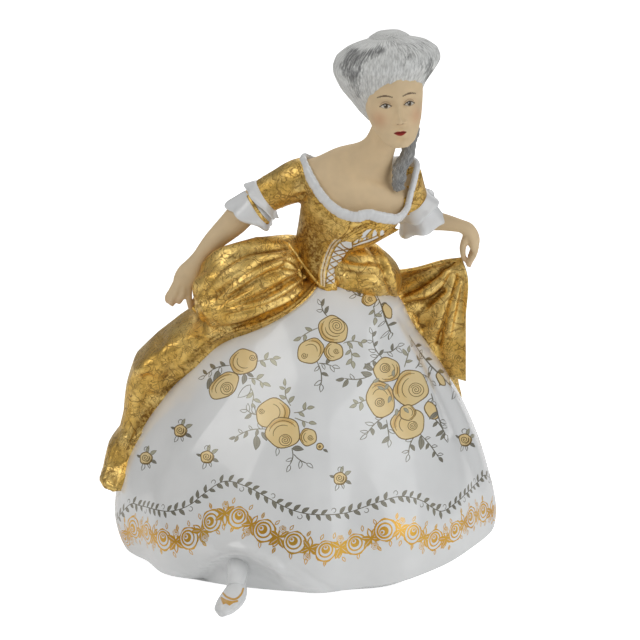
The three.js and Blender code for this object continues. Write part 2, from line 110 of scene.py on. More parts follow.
def unit(vectors: Array) -> Array:
    """Vectors at length one."""
    length = np.linalg.norm(vectors, axis=-1, keepdims=True)
    return vectors / np.maximum(length, 1e-12)


def turned_axes(angle: float) -> Array:
    """The two axes of a plane, turned against the clock."""
    return np.array([(math.cos(angle), math.sin(angle)), (-math.sin(angle), math.cos(angle))])


def smooth_path(stations: Stations | Array, along: Array, closed: bool = False) -> Array:
    """Points on the centripetal Catmull-Rom curve through some stations.

    Args:
        stations: The points that the curve goes through.
        along: Shares of the way, 0 to 1.
        closed: Whether the curve runs on from its last station to its first.

    Returns:
        One point for each share.
    """
    knots = np.asarray(stations, float)
    count = len(knots)
    place = np.asarray(along, float) * (count if closed else count - 1)
    first = np.floor(place).astype(int)
    if closed:
        weight = place - first
        four = [knots[(first + k) % count] for k in (-1, 0, 1, 2)]
    else:
        first = np.clip(first, 0, count - 2)
        weight = place - first
        ends = np.vstack([2 * knots[0] - knots[1], knots, 2 * knots[-1] - knots[-2]])
        four = [ends[first + k] for k in (0, 1, 2, 3)]
    before, start, end, after = four
    gaps = [np.sqrt(np.linalg.norm(b - a, axis=1))[:, None] for a, b in zip(four, four[1:])]
    middle = np.where(gaps[1] < 1e-4, 1.0, gaps[1])
    ahead = np.where(gaps[0] < 1e-4, middle, gaps[0])
    behind = np.where(gaps[2] < 1e-4, middle, gaps[2])
    leave = (start - before) / ahead - (end - before) / (ahead + middle) + (end - start) / middle
    arrive = (end - start) / middle - (after - start) / (middle + behind) + (after - end) / behind
    leave, arrive = leave * middle, arrive * middle
    t = weight[:, None]
    square = 3 * (end - start) - 2 * leave - arrive
    cube = 2 * (start - end) + leave + arrive
    return start + t * (leave + t * (square + t * cube))


def seen(points: Array) -> Array:
    """Where points are in the picture, as seen from in front: [across, up] in millimetres."""
    return np.stack([points[..., 0], points @ SEEN_UP], axis=-1)


def distance_to_path(places: Array, path: Array) -> Array:
    """How far each place is from a line through the path's points.

    Args:
        places: Points of two or three numbers.
        path: The line's points, with as many numbers each.

    Returns:
        One distance for each place.
    """
    nearest = np.full(len(places), np.inf)
    for a, b in zip(path[:-1], path[1:]):
        run = b - a
        t = np.clip((places - a) @ run / max(run @ run, 1e-12), 0, 1)
        nearest = np.minimum(nearest, np.linalg.norm(places - a - t[:, None] * run, axis=1))
    return nearest


@dataclass(frozen=True)
class Fold:
    """A ridge, or a valley where its height is below zero, drawn over a form as seen from in front."""

    height: float
    width: float
    path: Stations

    def relief(self, places: Array) -> Array:
        """How far the form stands out at each place in the picture."""
        line = smooth_path(self.path, np.linspace(0, 1, 6 * len(self.path)))
        return self.height * bell(distance_to_path(places, line), 0.0, self.width)


def grid_faces(rows: int, columns: int, wrap: bool = False) -> Array:
    """Four-sided faces over a grid of points, row by row.

    Args:
        rows: How many rows of points.
        columns: How many points in a row.
        wrap: Whether each row closes on itself.

    Returns:
        One row of four point numbers for each face.
    """
    across = np.arange(columns if wrap else columns - 1)
    row = np.arange(rows - 1)[:, None] * columns
    a = row + across
    b = row + (across + 1) % columns
    return np.stack([a, b, b + columns, a + columns], axis=-1).reshape(-1, 4)


def fan_faces(ring: Array, centre: int) -> Array:
    """Triangles from a ring of points to a centre."""
    return np.stack([ring, np.roll(ring, -1), np.full(len(ring), centre)], axis=-1)


@dataclass
class Form:
    """Points and faces in millimetres, before they become a piece."""

    points: Array
    quads: Array = field(default_factory=lambda: np.zeros((0, 4), int))
    triangles: Array = field(default_factory=lambda: np.zeros((0, 3), int))

    def corners(self) -> Array:
        """Every face as triangles."""
        q = self.quads
        return np.vstack([q[:, [0, 1, 2]], q[:, [0, 2, 3]], self.triangles])

    def facing_out(self) -> Form:
        """The same closed form, turned so that its faces point outwards."""
        a, b, c = (self.points[self.corners()[:, k]] for k in range(3))
        if np.einsum("ij,ij->i", a, np.cross(b, c)).sum() < 0:
            return Form(self.points, self.quads[:, ::-1], self.triangles[:, ::-1])
        return self

    def normals(self) -> Array:
        """The direction that each point faces, averaged over the faces round it.

        Returns:
            One unit vector for each point.
        """
        faces = self.corners()
        a, b, c = (self.points[faces[:, k]] for k in range(3))
        across = np.cross(b - a, c - a)
        total = np.zeros_like(self.points)
        for k in range(3):
            for axis in range(3):
                total[:, axis] += np.bincount(faces[:, k], across[:, axis], len(self.points))
        return unit(total)

    def edges(self) -> Array:
        """Every pair of points that share an edge, once."""
        q, t = self.quads, self.triangles
        loops = [q[:, [k, (k + 1) % 4]] for k in range(4)] + [t[:, [k, (k + 1) % 3]] for k in range(3)]
        pairs = np.sort(np.vstack(loops), axis=1)
        return np.unique(pairs, axis=0)

    def averaged(self, values: Array, passes: int, share: Array | float = 1.0) -> Array:
        """Values at the points, each evened out with its neighbours' again and again.

        Args:
            values: One row for each point.
            passes: How many times.
            share: How far each point takes part, 0 to 1.

        Returns:
            The evened values.
        """
        a, b = self.edges().T
        size = len(self.points)
        count = np.maximum(np.bincount(a, minlength=size) + np.bincount(b, minlength=size), 1)
        result = np.array(values, float).reshape(size, -1)
        weight = 0.5 * np.broadcast_to(share, size)
        for _ in range(passes):
            for column in result.T:
                total = np.bincount(a, column[b], size) + np.bincount(b, column[a], size)
                column += (total / count - column) * weight
        return result

    def eased(self, passes: int, share: Array | float = 1.0) -> Form:
        """The same form with its surface smoothed."""
        return Form(self.averaged(self.points, passes, share), self.quads, self.triangles)

    def hollows(self, soft: int = 8) -> Array:
        """How hollow the surface is round each point: the bend, one over its radius in millimetres.

        Args:
            soft: How many times the result is evened out.

        Returns:
            One number for each point, above zero in a hollow.
        """
        a, b = self.edges().T
        size = len(self.points)
        apart = self.points[b] - self.points[a]
        count = np.maximum(np.bincount(a, minlength=size) + np.bincount(b, minlength=size), 1)
        square = (apart**2).sum(axis=1)
        reach = (np.bincount(a, square, size) + np.bincount(b, square, size)) / count
        pull = np.stack([np.bincount(a, w, size) - np.bincount(b, w, size) for w in apart.T], axis=1)
        bend = 4 * (pull / count[:, None] * self.normals()).sum(axis=1) / np.maximum(reach, 1e-6)
        return self.averaged(np.clip(bend, -2, 2), soft)[:, 0]

    def joined(self, *others: Form) -> Form:
        """This form and others as one.

        Args:
            *others: The other forms.

        Returns:
            The joined form.
        """
        points, quads, triangles = [self.points], [self.quads], [self.triangles]
        start = len(self.points)
        for other in others:
            points.append(other.points)
            quads.append(other.quads + start)
            triangles.append(other.triangles + start)
            start += len(other.points)
        return Form(np.vstack(points), np.vstack(quads), np.vstack(triangles))

    def raised(self, by: Array | float) -> Form:
        """The same form with each point moved out along its normal."""
        moved = self.points + self.normals() * np.broadcast_to(by, len(self.points))[:, None]
        return Form(moved, self.quads, self.triangles)

    def folded(self, folds: tuple[Fold, ...], soft: float = 0.25) -> Form:
        """The same form with folds pressed into the side that faces the viewer.

        Args:
            folds: The ridges and valleys.
            soft: How squarely a point has to face the viewer before a fold has its full height.

        Returns:
            The folded form.
        """
        normals = self.normals()
        front = smoothstep(-(normals @ SEEN_IN), 0.0, soft)
        places = seen(self.points)
        relief = sum(fold.relief(places) for fold in folds)
        return Form(self.points + normals * (relief * front)[:, None], self.quads, self.triangles)


def gilt_paint_with_hollow_shade(form: Form, brown: Array | float = 0.0, white: Array | float = 0.0) -> Array:
    """Colours for gilding: red where the white glaze shows, green where brown painted shade lies in the
    hollows.

    Args:
        form: The gilded form.
        brown: Further brown at each point.
        white: White glaze at each point.

    Returns:
        One colour for each point.
    """
    # Brown painted into the hollows of the folds: painted shade.
    hollow = 0.75 * smoothstep(form.hollows(), 0.05, 0.5)
    paint = np.zeros((len(form.points), 3))
    paint[:, 0] = white
    paint[:, 1] = np.clip(np.maximum(hollow, brown) * (1 - paint[:, 0]), 0, 1)
    return paint


def loft(rings: Array) -> Form:
    """A closed form through rings of points, with a fan over both ends.

    Args:
        rings: An array of [ring, point, xyz].

    Returns:
        The form, facing out.
    """
    count, sides, _ = rings.shape
    points = rings.reshape(-1, 3)
    ends = np.stack([rings[0].mean(axis=0), rings[-1].mean(axis=0)])
    first, last = np.arange(sides), np.arange(sides) + (count - 1) * sides
    caps = np.vstack([fan_faces(first[::-1], len(points)), fan_faces(last, len(points) + 1)])
    return Form(np.vstack([points, ends]), grid_faces(count, sides, wrap=True), caps).facing_out()


def limb(
    stations: Stations,
    across: Place,
    across_end: Place | None = None,
    sides: int = 64,
    steps: int = 64,
    swell: Callable[[Array, Array], Array] | None = None,
    grow: float = 0.0,
) -> Form:
    """A limb: rings along a smooth path.

    Args:
        stations: [x, y, z, half width, half depth] each; the depth may be left out.
        across: The direction of the half width at the start.
        across_end: The same at the end, where it differs.
        sides: Points round a ring.
        steps: Rings along the path, less one.
        swell: Scales a ring, given its angles and the share of the way.
        grow: Millimetres added to every ring.

    Returns:
        The closed form.
    """
    table = np.array([(*s[:4], s[4] if len(s) > 4 else s[3]) for s in stations])
    along = np.linspace(0, 1, steps + 1)
    middle = smooth_path(table[:, :3], along)
    size = smooth_path(table[:, 3:], along)
    near = np.clip(along - 1e-4, 0, 1), np.clip(along + 1e-4, 0, 1)
    heading = unit(smooth_path(table[:, :3], near[1]) - smooth_path(table[:, :3], near[0]))
    end = across if across_end is None else across_end
    wide = np.outer(1 - along, across) + np.outer(along, end)
    wide = unit(wide - (wide * heading).sum(axis=1, keepdims=True) * heading)
    deep = np.cross(heading, wide)
    angle = FULL_TURN * np.arange(sides) / sides
    scale = np.ones((steps + 1, sides)) if swell is None else swell(angle[None, :], along[:, None])
    size = np.maximum(size, 0.3) + grow
    rings = (
        middle[:, None, :]
        + wide[:, None, :] * (size[:, :1] * scale * np.cos(angle))[..., None]
        + deep[:, None, :] * (size[:, 1:] * scale * np.sin(angle))[..., None]
    )
    return loft(rings)


def melted(form: Form, voxel: float, passes: int) -> Form:
    """Overlapping closed forms melted into one skin, as when clay limbs are smoothed together.

    Args:
        form: The overlapping closed forms.
        voxel: The size of the new faces, in millimetres.
        passes: How many times the skin is smoothed.

    Returns:
        One closed form.
    """
    mesh = mesh_of("melt", form)
    piece = new_object("melt", mesh)
    remesh = piece.modifiers.new("melt", "REMESH")
    remesh.mode = "VOXEL"
    remesh.voxel_size = voxel * METRES
    remesh.adaptivity = 0.0
    smooth = piece.modifiers.new("smooth", "SMOOTH")
    smooth.factor = 0.5
    smooth.iterations = passes
    graph = bpy.context.evaluated_depsgraph_get()
    result = bpy.data.meshes.new_from_object(piece.evaluated_get(graph))
    points = np.empty(3 * len(result.vertices), np.float32)
    result.vertices.foreach_get("co", points)
    faces = np.empty(4 * len(result.polygons), np.int32)
    result.polygons.foreach_get("vertices", faces)
    bpy.data.objects.remove(piece)
    bpy.data.meshes.remove(mesh)
    bpy.data.meshes.remove(result)
    return Form(points.reshape(-1, 3).astype(float) / METRES, faces.reshape(-1, 4).astype(int))


def new_object(name: str, data: bpy.types.ID) -> bpy.types.Object:
    """A new object with its mesh, lamp or camera, in the scene."""
    made = bpy.data.objects.new(name, data)
    bpy.context.collection.objects.link(made)
    return made


def mesh_of(name: str, form: Form) -> bpy.types.Mesh:
    """A mesh, in metres, from a form.

    Args:
        name: The mesh's name.
        form: Its points and faces in millimetres.

    Returns:
        The mesh, shaded smooth.
    """
    mesh = bpy.data.meshes.new(name)
    mesh.vertices.add(len(form.points))
    mesh.vertices.foreach_set("co", (form.points * METRES).astype(np.float32).ravel())
    loops = np.concatenate([form.quads.ravel(), form.triangles.ravel()]).astype(np.int32)
    sizes = np.concatenate([np.full(len(form.quads), 4), np.full(len(form.triangles), 3)])
    mesh.loops.add(len(loops))
    mesh.loops.foreach_set("vertex_index", loops)
    mesh.polygons.add(len(sizes))
    mesh.polygons.foreach_set("loop_start", (np.cumsum(sizes) - sizes).astype(np.int32))
    mesh.update(calc_edges=True)
    mesh.validate()
    mesh.shade_smooth()
    return mesh


@dataclass
class Piece:
    """One visible piece: a form with its finishes, which stands for the solid."""

    name: str
    form: Form
    slot: Slot
    finishes: list[bpy.types.Material]
    face_finish: Array | None = None
    colours: dict[str, Array] = field(default_factory=dict)
    uv: Array | None = None
    normals: Array | None = None

    def cast(self) -> bpy.types.Object:
        """Makes the object, dresses it and sets it on the frame.

        Returns:
            The object.
        """
        mesh = mesh_of(self.name, self.form)
        for finish in self.finishes:
            mesh.materials.append(finish)
        if self.face_finish is not None:
            mesh.polygons.foreach_set("material_index", self.face_finish.astype(np.int32))
        for name, values in self.colours.items():
            layer = mesh.color_attributes.new(name, "FLOAT_COLOR", "POINT")
            rgba = np.ones((len(values), 4), np.float32)
            rgba[:, : values.shape[1]] = values
            layer.data.foreach_set("color", rgba.ravel())
        if self.uv is not None:
            layer = mesh.uv_layers.new(name="UVMap")
            loops = np.empty(len(mesh.loops), np.int32)
            mesh.loops.foreach_get("vertex_index", loops)
            layer.uv.foreach_set("vector", self.uv[loops].astype(np.float32).ravel())
        if self.normals is not None:
            mesh.normals_split_custom_set_from_vertices(self.normals.tolist())
        return set_on_frame(new_object(self.name, mesh))


def set_on_frame(piece: bpy.types.Object) -> bpy.types.Object:
    """Makes an object ride on the figurine's body and stand for its solid, which it hides."""
    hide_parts(NODE)
    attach(piece, BODY)
    log.info("%s: %d faces", piece.name, len(piece.data.polygons))
    return piece


class Nodes:
    """A shader or geometry node tree, with short calls to add and link nodes."""

    def __init__(self, tree: bpy.types.NodeTree) -> None:
        """Keeps the tree."""
        self.tree = tree

    def add(self, kind: str, **settings: object) -> bpy.types.Node:
        """Adds a node.

        Args:
            kind: The node's type name.
            **settings: Its properties; `inputs` is what `feed` takes.

        Returns:
            The node.
        """
        node = self.tree.nodes.new(kind)
        inputs = settings.pop("inputs", {})
        for name, value in settings.items():
            setattr(node, name, value)
        return self.feed(node, inputs)

    def feed(self, node: bpy.types.Node, inputs: dict[str | int, object]) -> bpy.types.Node:
        """Sets a node's inputs.

        Args:
            node: The node.
            inputs: By socket name or number, a value to set or a socket to link.

        Returns:
            The node.
        """
        for name, value in inputs.items():
            if isinstance(value, bpy.types.NodeSocket):
                self.tree.links.new(value, node.inputs[name])
            else:
                node.inputs[name].default_value = value
        return node

    def effect(self, tree: bpy.types.NodeTree, **inputs: float) -> bpy.types.Node:
        """One of the shared effects; an input's name is written with low lines for spaces."""
        named = {name.replace("_", " "): value for name, value in inputs.items()}
        return self.add("ShaderNodeGroup", node_tree=tree, inputs=named)

    def noise(self, place: object, scale: object, detail: float, roughness: float = 0.5) -> bpy.types.Node:
        """A noise texture."""
        inputs = {"Vector": place, "Scale": scale, "Detail": detail, "Roughness": roughness}
        return self.add("ShaderNodeTexNoise", inputs=inputs)

    def painted(self, name: str) -> bpy.types.NodeSocket:
        """The colour attribute of that name."""
        return self.add("ShaderNodeVertexColor", layer_name=name).outputs["Color"]

    def math(self, operation: str, *values: object) -> bpy.types.NodeSocket:
        """The result of a Math node."""
        node = self.add("ShaderNodeMath", operation=operation, inputs=dict(enumerate(values)))
        return node.outputs[0]

    def mix(self, share: object, first: object, second: object) -> bpy.types.NodeSocket:
        """A colour between two colours."""
        node = self.add("ShaderNodeMix", data_type="RGBA", inputs={0: share, 6: first, 7: second})
        return node.outputs[2]

    def ramp(
        self, value: object, low: object, high: object, start: float, end: float, way: str = "LINEAR"
    ) -> bpy.types.NodeSocket:
        """A value mapped from one range to another, and held at both ends.

        Args:
            value: What is mapped.
            low: Where the first range starts.
            high: Where it ends.
            start: What `low` becomes.
            end: What `high` becomes.
            way: How the values between are found.

        Returns:
            The mapped value.
        """
        inputs = {0: value, 1: low, 2: high, 3: start, 4: end}
        return self.add("ShaderNodeMapRange", interpolation_type=way, inputs=inputs).outputs[0]


def rgba(colour: Colour) -> tuple[float, float, float, float]:
    """A colour with full alpha."""
    return (*colour, 1.0)


def effect_group(name: str, inputs: dict[str, float], outputs: tuple[str, ...]) -> Nodes:
    """An empty shader node group with named sockets.

    Args:
        name: The group's name.
        inputs: Each number that goes in, with its usual value.
        outputs: Each number that comes out.

    Returns:
        The group's nodes; its input and output nodes are named "in" and "out".
    """
    tree = bpy.data.node_groups.new(name, "ShaderNodeTree")
    kind = "NodeSocketFloat"
    for socket, value in inputs.items():
        tree.interface.new_socket(socket, in_out="INPUT", socket_type=kind).default_value = value
    for socket in outputs:
        tree.interface.new_socket(socket, in_out="OUTPUT", socket_type=kind)
    nodes = Nodes(tree)
    nodes.add("NodeGroupInput", name="in")
    nodes.add("NodeGroupOutput", name="out")
    return nodes


class Effects:
    """The effects that several finishes share, built once."""

    def __init__(self) -> None:
        """Builds the groups."""
        self.grain = self.make_grain()
        self.etching = self.make_etching()
        self.streaks = self.make_streaks()

    @staticmethod
    def make_grain() -> bpy.types.NodeTree:
        """The fine unevenness of a fired surface: a height, and a mask of broad patches.

        Returns:
            The group.
        """
        usual = {"Scale": 2000.0, "Patch Scale": 60.0, "Depth": 1.0}
        nodes = effect_group("fired grain", usual, ("Height", "Patches"))
        given = nodes.tree.nodes["in"].outputs
        place = nodes.add("ShaderNodeTexCoord").outputs["Object"]
        fine = nodes.noise(place, given["Scale"], 3.0, 0.6)
        broad = nodes.noise(place, given["Patch Scale"], 2.0)
        height = nodes.math("MULTIPLY", fine.outputs[0], given["Depth"])
        nodes.feed(nodes.tree.nodes["out"], {"Height": height, "Patches": broad.outputs[0]})
        return nodes.tree

    @staticmethod
    def make_etching() -> bpy.types.NodeTree:
        """Fine wandering lines, as etched through the gilding: a mask of the lines, and of worn spots.

        Returns:
            The group.
        """
        usual = {"Scale": 260.0, "Line": 0.05, "Warp": 0.004}
        nodes = effect_group("etched lines", usual, ("Lines", "Wear"))
        given = nodes.tree.nodes["in"].outputs
        place = nodes.add("ShaderNodeTexCoord").outputs["Object"]
        bend = nodes.noise(place, 190.0, 2.0)
        offset = nodes.add(
            "ShaderNodeVectorMath",
            operation="SCALE",
            inputs={0: bend.outputs["Color"], "Scale": given["Warp"]},
        )
        warped = nodes.add("ShaderNodeVectorMath", operation="ADD", inputs={0: place, 1: offset.outputs[0]})
        breaks = nodes.noise(place, 150.0, 2.0)
        lines = nodes.math("MULTIPLY", 0.0, 0.0)
        for share, rings, low, high in ((1.0, 2.4, 0.55, 0.46), (2.3, 1.6, 0.50, 0.60)):
            width = nodes.math("MULTIPLY", given["Line"], share**0.5)
            soft = nodes.math("MULTIPLY", width, 2.0)
            cells = {"Vector": warped.outputs[0], "Scale": nodes.math("MULTIPLY", given["Scale"], share)}
            edge = nodes.add("ShaderNodeTexVoronoi", feature="DISTANCE_TO_EDGE", inputs=cells)
            petal = nodes.add("ShaderNodeTexVoronoi", inputs=cells)
            turn = nodes.math("FRACT", nodes.math("MULTIPLY", petal.outputs["Distance"], rings))
            off = nodes.math("ABSOLUTE", nodes.math("SUBTRACT", turn, 0.5))
            near = nodes.math("MINIMUM", edge.outputs["Distance"], nodes.math("MULTIPLY", off, 0.7))
            line = nodes.ramp(near, width, soft, 1.0, 0.0, "SMOOTHSTEP")
            kept = nodes.ramp(breaks.outputs[0], low, high, 0.0, 1.0)
            lines = nodes.math("MAXIMUM", lines, nodes.math("MULTIPLY", line, kept))
        worn = nodes.noise(place, 700.0, 3.0, 0.7)
        wear = nodes.ramp(worn.outputs[0], 0.46, 0.66, 0.0, 1.0)
        nodes.feed(nodes.tree.nodes["out"], {"Lines": lines, "Wear": wear})
        return nodes.tree

    @staticmethod
    def make_streaks() -> bpy.types.NodeTree:
        """Brushed streaks that follow a piece's own UV map, its second axis along the strands.

        Returns:
            The group.
        """
        nodes = effect_group("brushed streaks", {"Across": 60.0, "Along": 3.0}, ("Fine", "Broad"))
        given = nodes.tree.nodes["in"].outputs
        place = nodes.add("ShaderNodeUVMap", uv_map="UVMap").outputs[0]
        for name, share, detail in (("Fine", 1.0, 4.0), ("Broad", 0.22, 3.0)):
            across = nodes.math("MULTIPLY", given["Across"], share)
            along = nodes.math("MULTIPLY", given["Along"], share**0.5)
            size = nodes.add("ShaderNodeCombineXYZ", inputs={"X": across, "Y": along, "Z": 1.0})
            stretched = nodes.add(
                "ShaderNodeVectorMath", operation="MULTIPLY", inputs={0: place, 1: size.outputs[0]}
            )
            noise = nodes.noise(stretched.outputs[0], 1.0, detail, 0.65)
            nodes.feed(nodes.tree.nodes["out"], {name: noise.outputs[0]})
        return nodes.tree


def plain_material(name: str) -> tuple[Nodes, bpy.types.Node]:
    """A new material's nodes and its Principled shader."""
    material = bpy.data.materials.new(name)
    material.use_nodes = True
    return Nodes(material.node_tree), material.node_tree.nodes["Principled BSDF"]


def bumped(nodes: Nodes, shader: bpy.types.Node, height: bpy.types.NodeSocket, depth: float) -> None:
    """Feeds a height to a shader's normal, `depth` millimetres deep."""
    inputs = {"Height": height, "Strength": 1.0, "Distance": depth * METRES}
    bump = nodes.add("ShaderNodeBump", inputs=inputs)
    nodes.feed(shader, {"Normal": bump.outputs[0]})


def material_of(nodes: Nodes) -> bpy.types.Material:
    """The material that a node tree belongs to."""
    return next(m for m in bpy.data.materials if m.node_tree == nodes.tree)


@dataclass(frozen=True)
class Glaze:
    """Clear glaze over porcelain or over painted enamel."""

    name: str
    colour: Colour
    shade: Colour
    roughness: float = 0.14
    metallic: float = 0.0
    coat: float = 0.6
    coat_roughness: float = 0.06
    grain: float = 900.0
    grain_depth: float = 0.012
    paint: str = ""

    def make(self, effects: Effects) -> bpy.types.Material:
        """Builds the material.

        Args:
            effects: The shared effects.

        Returns:
            The material, tinted by the colour attribute `paint` where that is named.
        """
        nodes, shader = plain_material(self.name)
        grain = nodes.effect(effects.grain, Scale=self.grain)
        patches = nodes.ramp(grain.outputs["Patches"], 0.35, 0.65, 0.0, 1.0)
        rough = nodes.ramp(grain.outputs["Patches"], 0.3, 0.7, self.roughness, self.roughness * 1.5)
        colour = nodes.mix(patches, rgba(self.colour), rgba(self.shade))
        if self.paint:
            tinted = nodes.add(
                "ShaderNodeMix",
                data_type="RGBA",
                blend_type="MULTIPLY",
                inputs={0: 1.0, 6: colour, 7: nodes.painted(self.paint)},
            )
            colour = tinted.outputs[2]
        inputs = {
            "Base Color": colour,
            "Roughness": rough,
            "Metallic": self.metallic,
            "Coat Weight": self.coat,
            "Coat Roughness": self.coat_roughness,
        }
        nodes.feed(shader, inputs)
        bumped(nodes, shader, grain.outputs["Height"], self.grain_depth)
        return material_of(nodes)


@dataclass(frozen=True)
class Gilding:
    """Fired gold, etched with fine brown lines and worn in spots."""

    name: str
    bright: Colour = (1.0, 0.72, 0.25)
    deep: Colour = (0.87, 0.56, 0.14)
    etched: Colour = (0.26, 0.13, 0.025)
    glaze: Colour = (0.86, 0.86, 0.84)
    brown: Colour = (0.20, 0.085, 0.008)
    roughness: float = 0.36
    scale: float = 165.0
    line: float = 0.022
    curl: float = 0.006
    dents: float = 5.0
    relief: float = 0.06

    def make(self, effects: Effects) -> bpy.types.Material:
        """Builds the material.

        Args:
            effects: The shared effects.

        Returns:
            The material. The red of the attribute `paint` uncovers the white glaze, the green lays brown.
        """
        nodes, shader = plain_material(self.name)
        grain = nodes.effect(effects.grain, Scale=1300.0, Patch_Scale=90.0, Depth=2.4)
        dented = nodes.effect(effects.grain, Patch_Scale=230.0)
        etching = nodes.effect(effects.etching, Scale=self.scale, Line=self.line, Warp=self.curl)
        lines, wear = etching.outputs["Lines"], etching.outputs["Wear"]
        patches = nodes.ramp(grain.outputs["Patches"], 0.4, 0.62, 0.0, 1.0)
        gold = nodes.mix(patches, rgba(self.bright), rgba(self.deep))
        worn = nodes.mix(nodes.math("MULTIPLY", wear, 0.36), gold, rgba(self.etched))
        colour = nodes.mix(nodes.math("MULTIPLY", lines, 0.7), worn, rgba(self.etched))
        rough = nodes.ramp(wear, 0.0, 1.0, self.roughness, self.roughness + 0.16)
        metallic = nodes.ramp(lines, 0.0, 1.0, 1.0, 0.7)
        split = nodes.add("ShaderNodeSeparateColor", inputs={0: nodes.painted("paint")})
        white, brown = split.outputs["Red"], split.outputs["Green"]
        colour = nodes.mix(white, colour, rgba(self.glaze))
        # The green's brown is painted shade in the hollows and on the bodice, plus brown painted lines,
        # broken up by the worn spots.
        speckled = nodes.math("MULTIPLY", brown, nodes.ramp(wear, 0.0, 0.5, 0.6, 1.0))
        inputs = {
            "Base Color": nodes.mix(speckled, colour, rgba(self.brown)),
            "Roughness": nodes.math("MULTIPLY", rough, nodes.ramp(white, 0.0, 1.0, 1.0, 0.5)),
            "Metallic": nodes.math("MULTIPLY", metallic, nodes.math("SUBTRACT", 1.0, white)),
        }
        nodes.feed(shader, inputs)
        dents = nodes.math("MULTIPLY", dented.outputs["Patches"], self.dents)
        raised = nodes.math("ADD", grain.outputs["Height"], dents)
        bumped(nodes, shader, nodes.math("SUBTRACT", raised, lines), self.relief)
        return material_of(nodes)


@dataclass(frozen=True)
class Enamel:
    """Half-matt enamel painted on the flesh, its colours in the attribute `paint`."""

    name: str
    roughness: float = 0.52
    grain_depth: float = 0.02

    def make(self, effects: Effects) -> bpy.types.Material:
        """Builds the material.

        Args:
            effects: The shared effects.

        Returns:
            The material.
        """
        nodes, shader = plain_material(self.name)
        grain = nodes.effect(effects.grain, Scale=2600.0, Patch_Scale=140.0)
        patches = grain.outputs["Patches"]
        shade = nodes.ramp(patches, 0.35, 0.65, 0.94, 1.03)
        tinted = nodes.add(
            "ShaderNodeVectorMath", operation="SCALE", inputs={0: nodes.painted("paint"), "Scale": shade}
        )
        inputs = {
            "Base Color": tinted.outputs[0],
            "Roughness": nodes.ramp(patches, 0.3, 0.7, self.roughness, self.roughness + 0.12),
            "Specular IOR Level": 0.35,
        }
        nodes.feed(shader, inputs)
        bumped(nodes, shader, grain.outputs["Height"], self.grain_depth)
        return material_of(nodes)


@dataclass(frozen=True)
class BrushedHair:
    """White and grey enamel, brushed on in streaks along the strands."""

    name: str
    light: Colour = (0.80, 0.81, 0.79)
    grey: Colour = (0.44, 0.44, 0.43)
    dark: Colour = (0.12, 0.12, 0.12)
    across: float = 85.0
    along: float = 11.0
    depth: float = 0.12

    def make(self, effects: Effects) -> bpy.types.Material:
        """Builds the material; the attribute `paint` says where the dark brushwork lies.

        Args:
            effects: The shared effects.

        Returns:
            The material.
        """
        nodes, shader = plain_material(self.name)
        streaks = nodes.effect(effects.streaks, Across=self.across, Along=self.along)
        share = nodes.add("ShaderNodeSeparateColor", inputs={0: nodes.painted("paint")}).outputs["Red"]
        fine, broad = streaks.outputs["Fine"], streaks.outputs["Broad"]
        grey = nodes.mix(nodes.ramp(fine, 0.38, 0.62, 0.0, 0.8), rgba(self.light), rgba(self.grey))
        level = nodes.math("ADD", nodes.math("MULTIPLY", share, 0.42), nodes.math("MULTIPLY", fine, 0.9))
        level = nodes.math("ADD", level, nodes.math("MULTIPLY", broad, 0.35))
        colour = nodes.mix(nodes.ramp(level, 0.80, 1.10, 0.0, 0.85), grey, rgba(self.dark))
        nodes.feed(shader, {"Base Color": colour, "Roughness": nodes.ramp(fine, 0.3, 0.7, 0.42, 0.6)})
        bumped(nodes, shader, fine, self.depth)
        return material_of(nodes)


class Paint(Enum):
    """What is brushed on the skirt, in the order of the skirt's finishes."""

    BARE = 0
    ROSE = 1
    ROSE_DEEP = 2
    OUTLINE = 3
    PLATINUM = 4
    GARLAND = 5
    LEAF = 6
    LEAF_LINE = 7
    LEAF_DARK = 8


